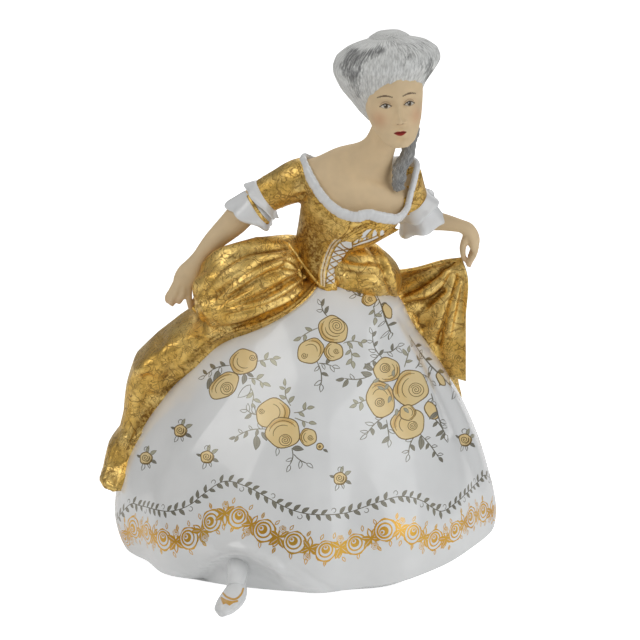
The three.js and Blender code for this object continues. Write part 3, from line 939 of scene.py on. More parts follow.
class Finishes:
    """Every finish on the figurine, made once, and the pieces dressed in them."""

    # In the order of Paint.
    brushed: tuple[Glaze, ...] = (
        Glaze("glazed white", (0.87, 0.88, 0.88), (0.82, 0.83, 0.83)),
        Glaze("rose wash", (0.90, 0.71, 0.37), (0.84, 0.62, 0.27), 0.3, 0.08),
        Glaze("rose shading", (0.80, 0.55, 0.21), (0.72, 0.46, 0.15), 0.3, 0.15),
        Glaze("brown gold line", (0.26, 0.17, 0.05), (0.18, 0.11, 0.03), 0.35, 0.4),
        Glaze("platinum leaf", (0.24, 0.225, 0.17), (0.16, 0.15, 0.115), 0.32, 0.5),
        Glaze("garland gold", (0.86, 0.50, 0.07), (0.70, 0.36, 0.035), 0.28, 0.7),
        Glaze("pale leaf", (0.52, 0.50, 0.37), (0.42, 0.40, 0.28), 0.3, 0.2),
        Glaze("pale leaf line", (0.34, 0.32, 0.23), (0.27, 0.25, 0.18), 0.3, 0.3),
        Glaze("dark leaf", (0.34, 0.32, 0.25), (0.26, 0.245, 0.19), 0.3, 0.35),
    )

    def __init__(self) -> None:
        """Builds the shared effects and the materials."""
        effects = Effects()
        self.skirt = [glaze.make(effects) for glaze in self.brushed]
        self.gilding = Gilding("etched gilding").make(effects)
        self.skin = Enamel("flesh enamel").make(effects)
        self.hair = BrushedHair("powdered hair").make(effects)
        self.frill = Glaze(
            "white frill", (0.86, 0.87, 0.87), (0.80, 0.81, 0.82), roughness=0.16, paint="paint"
        ).make(effects)

    def gilt(self, name: str, form: Form, paint: Array | None = None) -> bpy.types.Object:
        """Casts a gilt piece; unless its paint is given, brown painted shade lies in its hollows."""
        paint = gilt_paint_with_hollow_shade(form) if paint is None else paint
        return Piece(name, form, Slot.GILDING, [self.gilding], colours={"paint": paint}).cast()

    def white(self, name: str, form: Form, paint: Array) -> bpy.types.Object:
        """Casts a piece in white glaze, tinted by its paint."""
        return Piece(name, form, Slot.WHITE_GLAZE, [self.frill], colours={"paint": paint}).cast()

    def flesh(self, name: str, form: Form, paint: Array) -> bpy.types.Object:
        """Casts a piece in flesh enamel."""
        return Piece(name, form, Slot.PAINTED_SKIN, [self.skin], colours={"paint": paint}).cast()

    def strands(self, name: str, form: Form, dark: Array, sides: int, steps: int) -> bpy.types.Object:
        """Casts a lofted mass of hair, brushed along its strands.

        Args:
            name: The piece's name.
            form: The hair, lofted.
            dark: How dark the brushwork is at each point.
            sides: How many points are in a ring.
            steps: How many rings there are, less one.

        Returns:
            The piece.
        """
        around = np.tile(np.arange(sides) / sides, steps + 1)
        along = np.repeat(np.linspace(0, 1, steps + 1), sides)
        uv = np.vstack([np.stack([1 - np.abs(2 * around - 1), along], axis=1), [[0.5, 0.0], [0.5, 1.0]]])
        paint = np.repeat(dark[:, None], 3, axis=1)
        return Piece(name, form, Slot.POWDERED_HAIR, [self.hair], colours={"paint": paint}, uv=uv).cast()


@dataclass(frozen=True)
class SkirtForm:
    """The porcelain skirt's surface, as in the solid. Everything on the skirt is set out from it."""

    radius: float = 75.5
    widest: float = 18.0
    waist: float = 117.0
    hem_tuck: float = 6.0
    dome_power: float = 1.5
    dome_roundness: float = 0.7
    waist_shift: float = 7.0
    hip_bulge: float = 6.0
    hip_height: float = 104.0
    hip_spread: float = 10.0
    arch_height: float = 19.0
    arch_middle: float = -22.0
    arch_spread: float = 22.0
    arch_depth: float = 4.5
    top_level: float = 112.5
    hem: Stations = (
        (-180, 1.5), (-120, 2), (-90, 3), (-70, 3.6), (-60, 4.2), (-50, 3), (-35, 1.2), (-22, 2.2),
        (-10, 2), (0, 2.2), (17, 3.5), (33, 5.2), (45, 6.2), (55, 8), (68, 9.6), (80, 12), (95, 11.5),
        (120, 4), (180, 1.5),
    )
    creases: tuple[Fold, ...] = (
        Fold(0.9, 2.6, ((35.8, 87.5), (42.3, 76.5), (48.2, 62.1), (54.7, 45.2))),
        Fold(-0.7, 3.2, ((38.5, 90.0), (47.5, 76.5), (54.6, 59.5), (59.6, 45.0))),
        Fold(0.7, 5.0, ((-28.9, 57.7), (-36.8, 47.8), (-45.5, 37.9))),
        Fold(1.6, 2.0, (
            (-45.5, -10.7), (-39.5, -6.7), (-32.8, -2.4), (-25.7, -0.4), (-18.6, -2.8), (-9.9, -7.9),
        )),
        Fold(1.0, 1.8, ((-13.0, -6.0), (-6.0, -10.5), (0.0, -13.4), (7.9, -18.2))),
        Fold(-1.6, 2.4, (
            (-43.1, -14.4), (-36.8, -8.9), (-30.4, -5.3), (-25.3, -4.8), (-19.4, -7.6), (-11.9, -12.3),
        )),
        Fold(-0.5, 1.4, ((-4.0, -7.5), (4.0, -12.5), (11.0, -17.0))),
    )

    def hem_height(self, degrees: Array) -> Array:
        """How high the hem hangs at an angle."""
        table = np.array(self.hem)
        near = [wrapped(degrees + step) for step in (-4, -2, 0, 2, 4)]
        return np.mean([np.interp(angles, table[:, 0], table[:, 1]) for angles in near], axis=0)

    def dome(self, height: Array) -> Array:
        """The radius at a height, before the folds."""
        low = self.radius - self.hem_tuck * (1 - height / self.widest) ** 2
        rise = np.clip((height - self.widest) / (self.waist - self.widest), 0, 1)
        dome = self.radius * (1 - rise**self.dome_power) ** self.dome_roundness
        return np.where(height < self.widest, low, dome)

    def fold(self, degrees: Array, height: Array) -> Array:
        """The soft folds, deepest at the hem, the arch over the shoe and a crease down the right side.

        Args:
            degrees: Angles round the skirt.
            height: Heights.

        Returns:
            How far the surface stands out from the dome.
        """
        depth = 1.6 * (1 - smoothstep(height, 0, 95))
        turn = np.radians(degrees)
        folds = 0.6 * np.cos(9 * turn + 0.8) + 0.4 * np.cos(14 * turn - 0.6)
        arch = self.arch_height * bell_round(degrees, self.arch_middle, self.arch_spread)
        recess = self.arch_depth * smoothstep(arch - height, 0, 9)
        ridge = 1.5 * bell(height - arch, 3, 7) * bell_round(degrees, self.arch_middle, 40)
        crease = 1.4 * bell_round(degrees, 71, 6) * smoothstep(height, 5, 25)
        return depth * folds - recess + ridge - crease * (1 - smoothstep(height, 70, 100))

    def place(self, degrees: Array, height: Array, proud: Array | float = 0.0) -> Array:
        """Points on the surface.

        Args:
            degrees: Angles round the skirt; 0 is the front and 90 the right.
            height: Heights.
            proud: How far outside the surface.

        Returns:
            The points.
        """
        degrees, height = np.broadcast_arrays(np.asarray(degrees, float), np.asarray(height, float))
        turn = np.radians(degrees)
        hip = self.hip_bulge * np.sin(turn) ** 2 * bell(height, self.hip_height, self.hip_spread)
        radius = self.dome(height) + self.fold(degrees, height) + hip + proud
        middle = self.waist_shift * (height / self.waist) ** 2
        return np.stack([middle + radius * np.sin(turn), -radius * np.cos(turn), height], axis=-1)

    def creased(self, degrees: Array, height: Array) -> Array:
        """Points on the surface with the finer creases that only the glaze shows."""
        points = self.place(degrees, height)
        places = seen(points).reshape(-1, 2)
        front = smoothstep(-np.abs(wrapped(degrees)), -100, -80)
        relief = sum(crease.relief(places) for crease in self.creases).reshape(points.shape[:-1])
        return self.place(degrees, height, relief * front)

    def facing(self, degrees: Array, height: Array) -> Array:
        """The direction that the creased surface faces."""
        step = 0.25
        around = self.creased(degrees + step, height) - self.creased(degrees - step, height)
        up = self.creased(degrees, height + step) - self.creased(degrees, height - step)
        return unit(np.cross(around, up))

    def seen_at(self, places: Array) -> Array:
        """Where on the front of the skirt the viewer sees each place of the picture.

        Args:
            places: [across, up] in the picture.

        Returns:
            [degrees, height] for each.
        """
        degrees, height = np.meshgrid(np.arange(-95, 96, 2.0), np.arange(1, 113, 2.0), indexing="ij")
        grid = np.stack([degrees.ravel(), height.ravel()], axis=1)
        points = self.place(grid[:, 0], grid[:, 1])
        step = 0.5
        around = self.place(grid[:, 0] + step, grid[:, 1]) - points
        up = self.place(grid[:, 0], grid[:, 1] + step) - points
        grid = grid[np.cross(around, up) @ SEEN_IN < 0]
        apart = seen(self.place(grid[:, 0], grid[:, 1]))[None] - places[:, None]
        found = grid[(apart**2).sum(axis=2).argmin(axis=1)]
        for _ in range(8):
            here = seen(self.place(found[:, 0], found[:, 1]))
            by_angle = (seen(self.place(found[:, 0] + step, found[:, 1])) - here) / step
            by_height = (seen(self.place(found[:, 0], found[:, 1] + step)) - here) / step
            miss = places - here
            area = by_angle[:, 0] * by_height[:, 1] - by_angle[:, 1] * by_height[:, 0]
            area = np.where(np.abs(area) < 0.05, 0.05, area)
            turn = (miss[:, 0] * by_height[:, 1] - miss[:, 1] * by_height[:, 0]) / area
            rise = (by_angle[:, 0] * miss[:, 1] - by_angle[:, 1] * miss[:, 0]) / area
            found = found + np.stack([np.clip(turn, -3, 3), np.clip(rise, -3, 3)], axis=1)
            found[:, 1] = np.clip(found[:, 1], 2, 112)
        return found


class Cloth:
    """The skirt laid out flat, so that brushwork keeps its shape: [round, up] in millimetres."""

    def __init__(self, form: SkirtForm) -> None:
        """Measures the cloth from hem to waist.

        Args:
            form: The skirt that is laid out.
        """
        self.form = form
        self.levels = np.linspace(0, form.top_level, 451)
        line = form.place(np.zeros_like(self.levels), self.levels)
        steps = np.linalg.norm(np.diff(line, axis=0), axis=1)
        self.lengths = np.concatenate([[0], np.cumsum(steps)])
        self.width = math.pi * form.radius
        self.height = float(self.lengths[-1])

    def from_skirt(self, spots: Array) -> Array:
        """Flat places of [degrees, height] on the skirt."""
        hem = self.form.hem_height(spots[..., 0])
        level = (spots[..., 1] - hem) / (self.form.waist - hem) * self.form.waist
        flat = np.interp(level, self.levels, self.lengths)
        return np.stack([np.radians(spots[..., 0]) * self.form.radius, flat], axis=-1)

    def to_skirt(self, flat: Array) -> Array:
        """[degrees, height] on the skirt of flat places."""
        degrees = np.degrees(flat[..., 0] / self.form.radius)
        level = np.interp(flat[..., 1], self.lengths, self.levels)
        hem = self.form.hem_height(degrees)
        return np.stack([degrees, hem + (self.form.waist - hem) * level / self.form.waist], axis=-1)

    def narrowing(self, flat_up: Array) -> Array:
        """How much narrower the real cloth is there than the flat sheet."""
        level = np.interp(flat_up, self.lengths, self.levels)
        return self.form.radius / np.maximum(self.form.dome(level), 8.0)


@dataclass(frozen=True)
class Rose:
    """A brushed rose: its place and half size in the picture, its tilt, and its rolled eye."""

    at: tuple[float, float]
    half: tuple[float, float]
    tilt: float
    eye: tuple[float, float]
    eye_size: float


@dataclass(frozen=True)
class Spray:
    """A spray of roses in the picture, with its twigs: [root, tip, bend, leaves, first kind of leaf]."""

    roses: tuple[Rose, ...]
    twigs: tuple[tuple[tuple[float, float], tuple[float, float], float, int, int], ...]


SPRAYS: tuple[Spray, ...] = (
    Spray(
        roses=(
            Rose((-24.3, 73.1), (5.3, 4.7), 20.0, (-20.6, 74.5), 1.5),
            Rose((-31.9, 63.6), (6.4, 4.1), 38.0, (-30.6, 62.5), 2.6),
        ),
        twigs=(
            ((-29.6, 71.5), (-39.8, 67.0), -1.2, 5, 0),
            ((-19.0, 73.1), (-12.8, 74.0), 0.0, 3, 2),
            ((-23.6, 68.4), (-24.5, 64.0), 0.0, 0, 0),
            ((-22.9, 68.4), (-20.2, 66.8), 0.0, 0, 0),
            ((-22.1, 66.4), (-17.0, 64.4), 0.8, 3, 2),
            ((-21.3, 64.0), (-26.1, 58.9), -0.8, 0, 1),
            ((-21.3, 62.8), (-20.9, 56.9), 0.8, 2, 2),
            ((-34.0, 69.6), (-36.0, 64.0), 0.0, 0, 0),
            ((-37.2, 66.8), (-38.5, 62.1), 0.0, 0, 0),
        ),
    ),
    Spray(
        roses=(
            Rose((-12.6, 52.8), (6.3, 5.5), 15.0, (-17.1, 53.6), 1.3),
            Rose((-8.6, 45.3), (6.4, 5.7), 0.0, (-7.7, 42.3), 2.5),
            Rose((1.3, 43.5), (3.2, 3.3), 0.0, (2.2, 43.3), 1.2),
            Rose((5.9, 39.8), (1.4, 1.4), 0.0, (5.9, 39.8), 0.6),
        ),
        twigs=(
            ((-5.5, 55.7), (-8.1, 63.4), 0.8, 4, 2),
            ((-4.3, 53.0), (0.8, 54.5), -0.4, 2, 2),
            ((-4.0, 51.0), (1.2, 49.0), 0.0, 1, 2),
            ((-18.6, 52.2), (-22.5, 53.8), 0.4, 3, 1),
            ((-15.0, 46.6), (-27.1, 43.5), -1.2, 6, 1),
            ((-17.0, 45.5), (-15.0, 41.9), 0.0, 0, 0),
            ((-19.0, 44.3), (-19.4, 38.3), 0.0, 0, 0),
            ((-10.7, 39.5), (-11.1, 36.0), 0.0, 0, 1),
            ((-5.1, 39.1), (-0.4, 38.5), 0.0, 0, 0),
            ((-5.1, 39.1), (-5.9, 32.8), 0.8, 1, 1),
            ((-4.3, 36.8), (0.4, 33.2), -0.4, 1, 1),
            ((7.1, 38.7), (9.1, 37.5), 0.0, 0, 0),
        ),
    ),
    Spray(
        roses=(
            Rose((11.1, 85.8), (5.7, 4.9), -30.0, (12.6, 87.0), 3.4),
            Rose((2.3, 77.3), (5.3, 4.4), 38.0, (-0.2, 75.3), 1.3),
            Rose((11.3, 77.0), (3.6, 3.5), 0.0, (12.3, 77.1), 1.2),
        ),
        twigs=(
            ((8.7, 90.9), (6.1, 95.3), 0.4, 3, 0),
            ((5.1, 86.2), (-0.8, 82.6), -0.4, 2, 2),
            ((4.7, 73.1), (6.1, 64.4), 0.8, 3, 1),
            ((5.5, 72.3), (10.5, 71.1), 0.4, 3, 1),
            ((15.0, 80.2), (22.1, 80.2), 0.8, 3, 2),
            ((17.4, 78.7), (18.4, 73.5), 0.4, 3, 2),
        ),
    ),
    Spray(
        roses=(
            Rose((32.4, 69.8), (5.0, 4.6), 0.0, (31.5, 70.5), 2.1),
            Rose((29.9, 58.4), (5.2, 6.8), 12.0, (29.4, 57.0), 1.9),
            Rose((40.7, 48.8), (6.3, 5.8), 10.0, (42.3, 47.8), 2.0),
            Rose((41.8, 62.8), (6.1, 6.8), -20.0, (43.7, 61.9), 3.0),
            Rose((40.4, 53.0), (3.1, 3.0), 0.0, (40.4, 53.0), 0.0),
            Rose((49.4, 53.8), (2.0, 3.6), 25.0, (50.0, 51.8), 0.0),
        ),
        twigs=(
            ((30.4, 74.3), (26.3, 84.0), 1.2, 5, 0),
            ((30.8, 76.7), (37.2, 78.7), -0.8, 3, 1),
            ((29.6, 76.7), (26.1, 72.7), 0.4, 2, 1),
            ((26.1, 67.6), (16.2, 66.0), 0.8, 4, 1),
            ((26.9, 69.6), (23.3, 72.3), 0.0, 0, 0),
            ((26.5, 68.0), (21.9, 68.8), 0.0, 0, 0),
            ((24.1, 58.1), (20.6, 56.5), 0.0, 3, 2),
            ((31.2, 51.4), (25.3, 44.7), -0.8, 5, 1),
            ((32.0, 50.2), (33.2, 42.7), 0.0, 3, 0),
            ((43.5, 44.3), (41.1, 36.8), -0.8, 3, 1),
            ((44.7, 45.1), (52.6, 35.2), 0.4, 6, 0),
            ((45.5, 43.5), (45.5, 38.3), 0.0, 0, 0),
            ((39.1, 70.8), (40.9, 76.7), 0.0, 2, 2),
            ((43.1, 70.4), (47.4, 75.1), 0.4, 3, 1),
            ((45.5, 68.0), (51.0, 64.8), 0.4, 3, 1),
            ((50.2, 51.0), (54.9, 43.9), 0.4, 3, 0),
            ((49.0, 60.5), (49.8, 57.7), 0.0, 1, 1),
        ),
    ),
    Spray(
        roses=(
            Rose((25.3, 97.6), (2.8, 2.6), 0.0, (25.7, 97.6), 1.1),
            Rose((32.6, 92.9), (1.7, 3.0), 20.0, (32.8, 92.1), 0.0),
            Rose((54.2, 66.0), (1.2, 2.8), 28.0, (54.2, 66.0), 0.0),
        ),
        twigs=(
            ((22.9, 98.4), (18.2, 100.8), 0.4, 3, 0),
            ((28.1, 99.2), (39.9, 85.4), -0.8, 7, 1),
            ((26.9, 94.9), (28.1, 90.5), 0.0, 2, 2),
            ((41.1, 83.4), (56.9, 61.3), -0.8, 9, 1),
            ((50.6, 56.1), (54.8, 44.7), -0.4, 3, 0),
        ),
    ),
)


@dataclass(frozen=True)
class Spot:
    """A place on the flat cloth, and what a millimetre right and a millimetre up come to there."""

    origin: Array
    axes: Array

    def put(self, points: Array) -> Array:
        """Drawn points, laid on the cloth."""
        return self.origin + np.asarray(points, float) @ self.axes

    def turned(self, at: tuple[float, float] | Array, degrees: float = 0.0) -> Spot:
        """A spot at a drawn place, turned against the clock."""
        return Spot(self.put(at), turned_axes(math.radians(degrees)) @ self.axes)


class Brushwork:
    """Lays the painted flowers and borders on the flat cloth, stroke by stroke."""

    line: float = 0.40
    bloom: float = 1.08
    margin: float = 0.4
    sprigs: Stations = ((-49.0, 45.8), (-62.8, 34.8), (-38.3, 35.6), (13.8, 27.3), (63.2, 41.9))
    # The small leaves over the great spray: [across, up, turn].
    inner: Stations = (
        (29.2, 66.4, -150), (32.7, 64.4, -120), (31.2, 62.3, 160), (33.5, 59.6, 255), (34.8, 67.0, 85),
        (36.1, 54.6, 262), (38.7, 54.8, -45),
    )
    # A sprig's leaves: [turn, length, kind].
    sprig_leaves: tuple[tuple[float, float, int], ...] = (
        (20, 3.4, 2), (62, 3.2, 2), (150, 2.4, 0), (235, 3.2, 1), (275, 2.4, 1), (320, 3.0, 0),
    )
    # The leaves round a bud of the rose border: [turn, whether it is filled].
    bud_leaves: tuple[tuple[float, bool], ...] = (
        (35, True), (100, False), (150, True), (-40, True), (-95, False), (-140, True),
    )
    vine: Stations = (
        (-70.5, 17.2), (-63.2, 15.8), (-53.4, 14.2), (-45.5, 16.6), (-39.5, 21.3), (-31.6, 26.1),
        (-23.7, 24.5), (-13.8, 19.4), (-5.9, 15.4), (2.0, 13.4), (15.8, 13.8), (25.7, 17.0),
        (37.5, 20.2), (45.5, 18.6), (53.4, 14.2), (59.3, 17.4), (65.2, 22.5), (71.0, 28.0),
    )
    rose_border: Stations = (
        (-70.5, 7.4), (-61.3, 5.1), (-49.4, 2.4), (-39.5, 7.5), (-32.8, 13.4), (-25.7, 12.3), (-17.8, 7.5),
        (-5.9, 2.8), (5.9, -0.8), (15.8, 0.8), (23.7, 2.8), (33.6, 7.1), (40.3, 6.7), (49.4, 3.2),
        (55.3, 3.4), (63.2, 10.0), (70.5, 13.8),
    )

    def __init__(self, form: SkirtForm) -> None:
        """Gets the cloth ready."""
        self.form = form
        self.cloth = Cloth(form)
        self.chance = np.random.default_rng(11)
        self.strokes: list[tuple[Paint, Array]] = []

    def on_cloth(self, places: Array) -> Array:
        """Flat places of places in the picture."""
        return self.cloth.from_skirt(self.form.seen_at(np.asarray(places, float)))

    def spots(self, places: Stations | Array) -> list[Spot]:
        """The spots at some places of the picture, which foreshorten what is drawn there."""
        middle = np.asarray(places, float)
        reach = 0.8
        shifts = np.array([(0, 0), (reach, 0), (-reach, 0), (0, reach), (0, -reach)])
        flat = self.on_cloth((middle[None] + shifts[:, None]).reshape(-1, 2)).reshape(5, -1, 2)
        across, up = (flat[1] - flat[2]) / (2 * reach), (flat[3] - flat[4]) / (2 * reach)
        return [Spot(flat[0, i], np.stack([across[i], up[i]])) for i in range(len(middle))]

    def fill(self, spot: Spot, paint: Paint, points: Array) -> None:
        """Lays one closed patch of paint, unless it runs off the cloth."""
        laid = spot.put(points)
        inside = np.abs(laid[:, 0]).max() < self.cloth.width - self.margin
        if inside and laid[:, 1].min() > self.margin and laid[:, 1].max() < self.cloth.height - self.margin:
            self.strokes.append((paint, laid))

    def draw(self, spot: Spot, paint: Paint, path: Array, width: float, taper: float = 0.5) -> None:
        """Lays a line that thins towards its ends.

        Args:
            spot: Where it is drawn.
            paint: Its paint.
            path: Its points.
            width: Its width at the middle.
            taper: How much of the width is lost at the ends.
        """
        heading = unit(np.gradient(path, axis=0))
        side = np.stack([-heading[:, 1], heading[:, 0]], axis=1)
        along = np.linspace(-1, 1, len(path))[:, None]
        half = width / 2 * (1 - taper * along**4)
        self.fill(spot, paint, np.vstack([path + side * half, (path - side * half)[::-1]]))

    def leaf(self, spot: Spot, length: float, kind: int) -> None:
        """Draws a leaf.

        Args:
            spot: Its stalk's end; it grows along the spot's first axis.
            length: Its length.
            kind: 0 is dark, 1 an outline and 2 pale.
        """
        part = np.linspace(0, 1, 8)
        half = 0.235 * length * np.sin(math.pi * part**0.85) ** 0.85
        lean = 0.06 * length * np.sin(math.pi * part)
        upper, lower = (np.stack([part * length, lean + way * half], axis=1) for way in (1, -1))
        edge = np.vstack([upper, lower[-2:0:-1]])
        paint = (Paint.PLATINUM, Paint.PLATINUM, Paint.LEAF_LINE)[kind]
        self.fill(spot, paint, edge)
        middle = np.array([0.5 * length, 0.06 * length])
        share = 1 - 1.5 * self.line / (0.47 * length)
        inner = middle + (edge - middle) * (0.5 * (1 + share), share)
        inside = (Paint.LEAF_DARK, Paint.BARE, Paint.LEAF)[kind]
        self.fill(spot, inside, inner)
        if kind == 0:
            vein = np.stack([part[1:-2] * length, 0.07 * length * np.sin(math.pi * part[1:-2])], 1)
            self.draw(spot, Paint.PLATINUM, vein, 0.22)

    def twig(self, spot: Spot, tip: Array, bend: float, leaves: int, kind: int, size: float) -> None:
        """Draws a stem with leaves on both sides and one at its end, or one leaf where it has none.

        Args:
            spot: Where it starts.
            tip: Where it ends, from there.
            bend: How far it bows out.
            leaves: How many leaves are on its sides.
            kind: The kind of its first leaf.
            size: The usual length of a leaf.
        """
        reach = float(np.linalg.norm(tip))
        heading = math.degrees(math.atan2(tip[1], tip[0]))
        own = spot.turned((0, 0), heading)
        if leaves == 0:
            self.leaf(own, max(reach, 2.2), kind)
            return
        part = np.linspace(0, 1, 9)
        stem = np.stack([part * reach, bend * np.sin(math.pi * part)], axis=1)
        self.draw(own, Paint.LEAF_LINE if kind == 2 else Paint.PLATINUM, stem, self.line, 0.3)
        for i in range(leaves):
            share = (i + 0.7) / (leaves + 0.2)
            root = (share * reach, bend * math.sin(math.pi * share))
            side = 1 if i % 2 else -1
            turn = side * (48 + 14 * self.chance.random())
            which = kind if kind == 2 else (kind + i) % 2
            self.leaf(own.turned(root, turn), size * (0.8 + 0.35 * self.chance.random()), which)
        end = own.turned((reach, 0), 8 * self.chance.standard_normal())
        self.leaf(end, size, kind if kind == 2 else leaves % 2)

    def rose(
        self, spot: Spot, half: tuple[float, float], eye: Array, eye_size: float, deep: bool = True
    ) -> None:
        """Draws a rose: a scalloped wash, an outline, curling petals and a rolled eye.

        Args:
            spot: Its middle.
            half: Its half width and half height.
            eye: Where its eye is, from the middle.
            eye_size: The eye's radius.
            deep: Whether the wash is shaded.
        """
        half = (self.bloom * half[0], self.bloom * half[1])
        angle = np.linspace(0, FULL_TURN, 34)[:-1]
        lobes = 1 + 0.035 * np.cos(5 * angle + 3 * eye[0]) + 0.02 * np.cos(3 * angle + eye[1])
        blob = np.stack([half[0] * lobes * np.cos(angle), half[1] * lobes * np.sin(angle)], axis=1)
        size = min(half)
        self.fill(spot, Paint.OUTLINE, blob)
        self.fill(spot, Paint.ROSE, blob * (1 - self.line / np.array(half)))
        away = math.atan2(-eye[1], -eye[0] + 1e-6)
        if deep and size > 2.5:
            shade = away + np.linspace(-1.1, 0.9, 9)
            outer = np.stack([0.9 * half[0] * np.cos(shade), 0.9 * half[1] * np.sin(shade)], axis=1)
            self.fill(spot, Paint.ROSE_DEEP, np.vstack([outer, (0.78 * outer + 0.06 * eye)[::-1]]))
        if size > 2.5:
            for share, start, end in ((0.80, -1.35, 1.15), (0.58, -0.75, 1.5)):
                curl = away + np.linspace(start, end, 12)
                arc = np.stack([share * half[0] * np.cos(curl), share * half[1] * np.sin(curl)], axis=1)
                self.draw(spot, Paint.OUTLINE, arc + (1 - share) * 0.55 * np.asarray(eye), 0.3)
        if eye_size <= 0:
            return
        if eye_size > 1.7:
            ring = np.linspace(0, FULL_TURN, 25)[:-1]
            circle = np.stack([np.cos(ring), 0.93 * np.sin(ring)], axis=1)
            self.fill(spot, Paint.OUTLINE, np.asarray(eye) + circle * eye_size)
            self.fill(spot, Paint.ROSE, np.asarray(eye) + circle * (eye_size - 0.3))
        turns = 1.6 + 0.3 * min(eye_size, 3.0)
        roll = np.linspace(0, FULL_TURN * turns, round(14 * turns))
        reach = (0.74 if eye_size > 1.7 else 1.0) * eye_size * (roll / roll[-1]) ** 0.85
        spiral = np.stack([reach * np.cos(roll), 0.93 * reach * np.sin(roll)], axis=1)
        self.draw(spot, Paint.OUTLINE, np.asarray(eye) + spiral, 0.28, 0.1)

    def spray(self, spray: Spray) -> None:
        """Draws one spray of roses: the twigs first, and the roses over them."""
        roots = self.spots([twig[0] for twig in spray.twigs])
        for (root, tip, bend, leaves, kind), spot in zip(spray.twigs, roots):
            self.twig(spot, np.subtract(tip, root), bend, leaves, kind, 2.9 if leaves > 5 else 3.3)
        for rose, spot in zip(spray.roses, self.spots([r.at for r in spray.roses])):
            eye = np.subtract(rose.eye, rose.at) @ turned_axes(math.radians(-rose.tilt))
            self.rose(spot.turned((0, 0), rose.tilt), rose.half, eye, rose.eye_size)

    def inner_leaves(self) -> None:
        """Draws the small leaves that lie over the middle of the great spray."""
        table = np.array(self.inner)
        for turn, spot in zip(table[:, 2], self.spots(table[:, :2])):
            self.leaf(spot.turned((0, 0), turn), 3.0, 2)

    def sprig(self, spot: Spot) -> None:
        """Draws a small rose with six leaves and a curled tendril.

        Args:
            spot: The rose's middle.
        """
        start = 360 * self.chance.random()
        for turn, length, kind in self.sprig_leaves:
            self.leaf(spot.turned((0, 0), turn + 0.05 * start).turned((2.0, 0)), length, kind)
        curl = np.linspace(0, 1.3 * math.pi, 9)
        tendril = np.stack([0.9 * np.cos(curl), 3.6 + 0.9 * np.sin(curl)], axis=1)
        self.draw(spot, Paint.PLATINUM, tendril, 0.3)
        self.rose(spot, (2.5, 2.4), np.array([-0.2, 0.2]), 1.6, deep=False)

    def border_path(self, front: Stations, level: float, swing: float, start: float, end: float) -> Array:
        """A border's way round the cloth: as seen in front, and waved evenly behind.

        Args:
            front: Its places in the picture, from left to right.
            level: How far up the cloth it runs behind.
            swing: How much it waves there.
            start: The angle at which the part behind begins on the left, below zero.
            end: The same on the right.

        Returns:
            Flat places 0.5 mm apart.
        """
        ahead = self.on_cloth(smooth_path(front, np.linspace(0, 1, 120)))
        radius = self.form.radius
        keep = (ahead[:, 0] > math.radians(start) * radius) & (ahead[:, 0] < math.radians(end) * radius)
        ahead = ahead[keep]
        waves = 6.0
        left = np.linspace(-self.cloth.width + 0.8, ahead[0, 0] - 9, 40)
        right = np.linspace(ahead[-1, 0] + 9, self.cloth.width - 0.8, 40)
        behind = [
            np.stack([x, level + swing * np.sin(waves * x / radius + 0.9)], axis=1) for x in (left, right)
        ]
        rough = np.vstack([behind[0], ahead, behind[1]])
        rough = smooth_path(rough[::3], np.linspace(0, 1, 1500))
        length = np.concatenate([[0], np.cumsum(np.linalg.norm(np.diff(rough, axis=0), axis=1))])
        even = np.arange(0, length[-1], 0.5)
        return np.stack([np.interp(even, length, rough[:, k]) for k in (0, 1)], axis=1)

    def travelling(self, path: Array, gap: float) -> list[Spot]:
        """Spots spread evenly along a border.

        Args:
            path: The border's way round the flat cloth.
            gap: About how far apart the spots are.

        Returns:
            The spots, each with its first axis along the way.
        """
        found = []
        count = 2 * round(0.25 * len(path) / gap)
        for i in np.linspace(2, len(path) - 3, count, endpoint=False).astype(int):
            ahead = path[i + 2] - path[i - 2]
            narrow = float(self.cloth.narrowing(path[i, 1]))
            heading = math.atan2(ahead[1], ahead[0] / narrow)
            found.append(Spot(path[i], turned_axes(heading) * (narrow, 1.0)))
        return found

    def platinum_vine(self) -> None:
        """Draws the leafy vine that runs round above the rose border."""
        path = self.border_path(self.vine, 20.0, 4.2, -78, 84)
        flat = Spot(np.zeros(2), np.eye(2))
        self.draw(flat, Paint.PLATINUM, path[::2], 0.36, 0.0)
        for i, spot in enumerate(self.travelling(path, 2.0)):
            side = 1 if i % 2 else -1
            lean = side * (38 + 22 * self.chance.random())
            if i % 7 == 5:
                curl = np.linspace(0, 1.5 * math.pi, 10)
                tendril = np.stack([1.2 + 0.9 * np.sin(curl), side * (1.6 - 0.9 * np.cos(curl))], axis=1)
                self.draw(spot, Paint.PLATINUM, tendril, 0.3)
                continue
            self.leaf(spot.turned((0, 0), lean), 3.1 + 0.7 * self.chance.random(), 0)

    def gold_leaf(self, spot: Spot, length: float, filled: bool) -> None:
        """Draws one leaf of the rose border, filled or as a loop.

        Args:
            spot: Its stalk's end; it grows along the spot's first axis.
            length: Its length.
            filled: Whether it is filled and has a vein, or is a loop.
        """
        part = np.linspace(0, 1, 7)
        half = 0.25 * length * np.sin(math.pi * part**0.9)
        edge = np.vstack([np.stack([part * length, half], 1), np.stack([part * length, -half], 1)[-2:0:-1]])
        self.fill(spot, Paint.GARLAND, edge)
        middle = np.array([0.52 * length, 0.0])
        if filled:
            self.draw(spot, Paint.BARE, np.stack([part[1:-1] * length, 0 * part[1:-1]], 1), 0.16)
        else:
            self.fill(spot, Paint.BARE, middle + (edge - middle) * (0.68, 0.45))

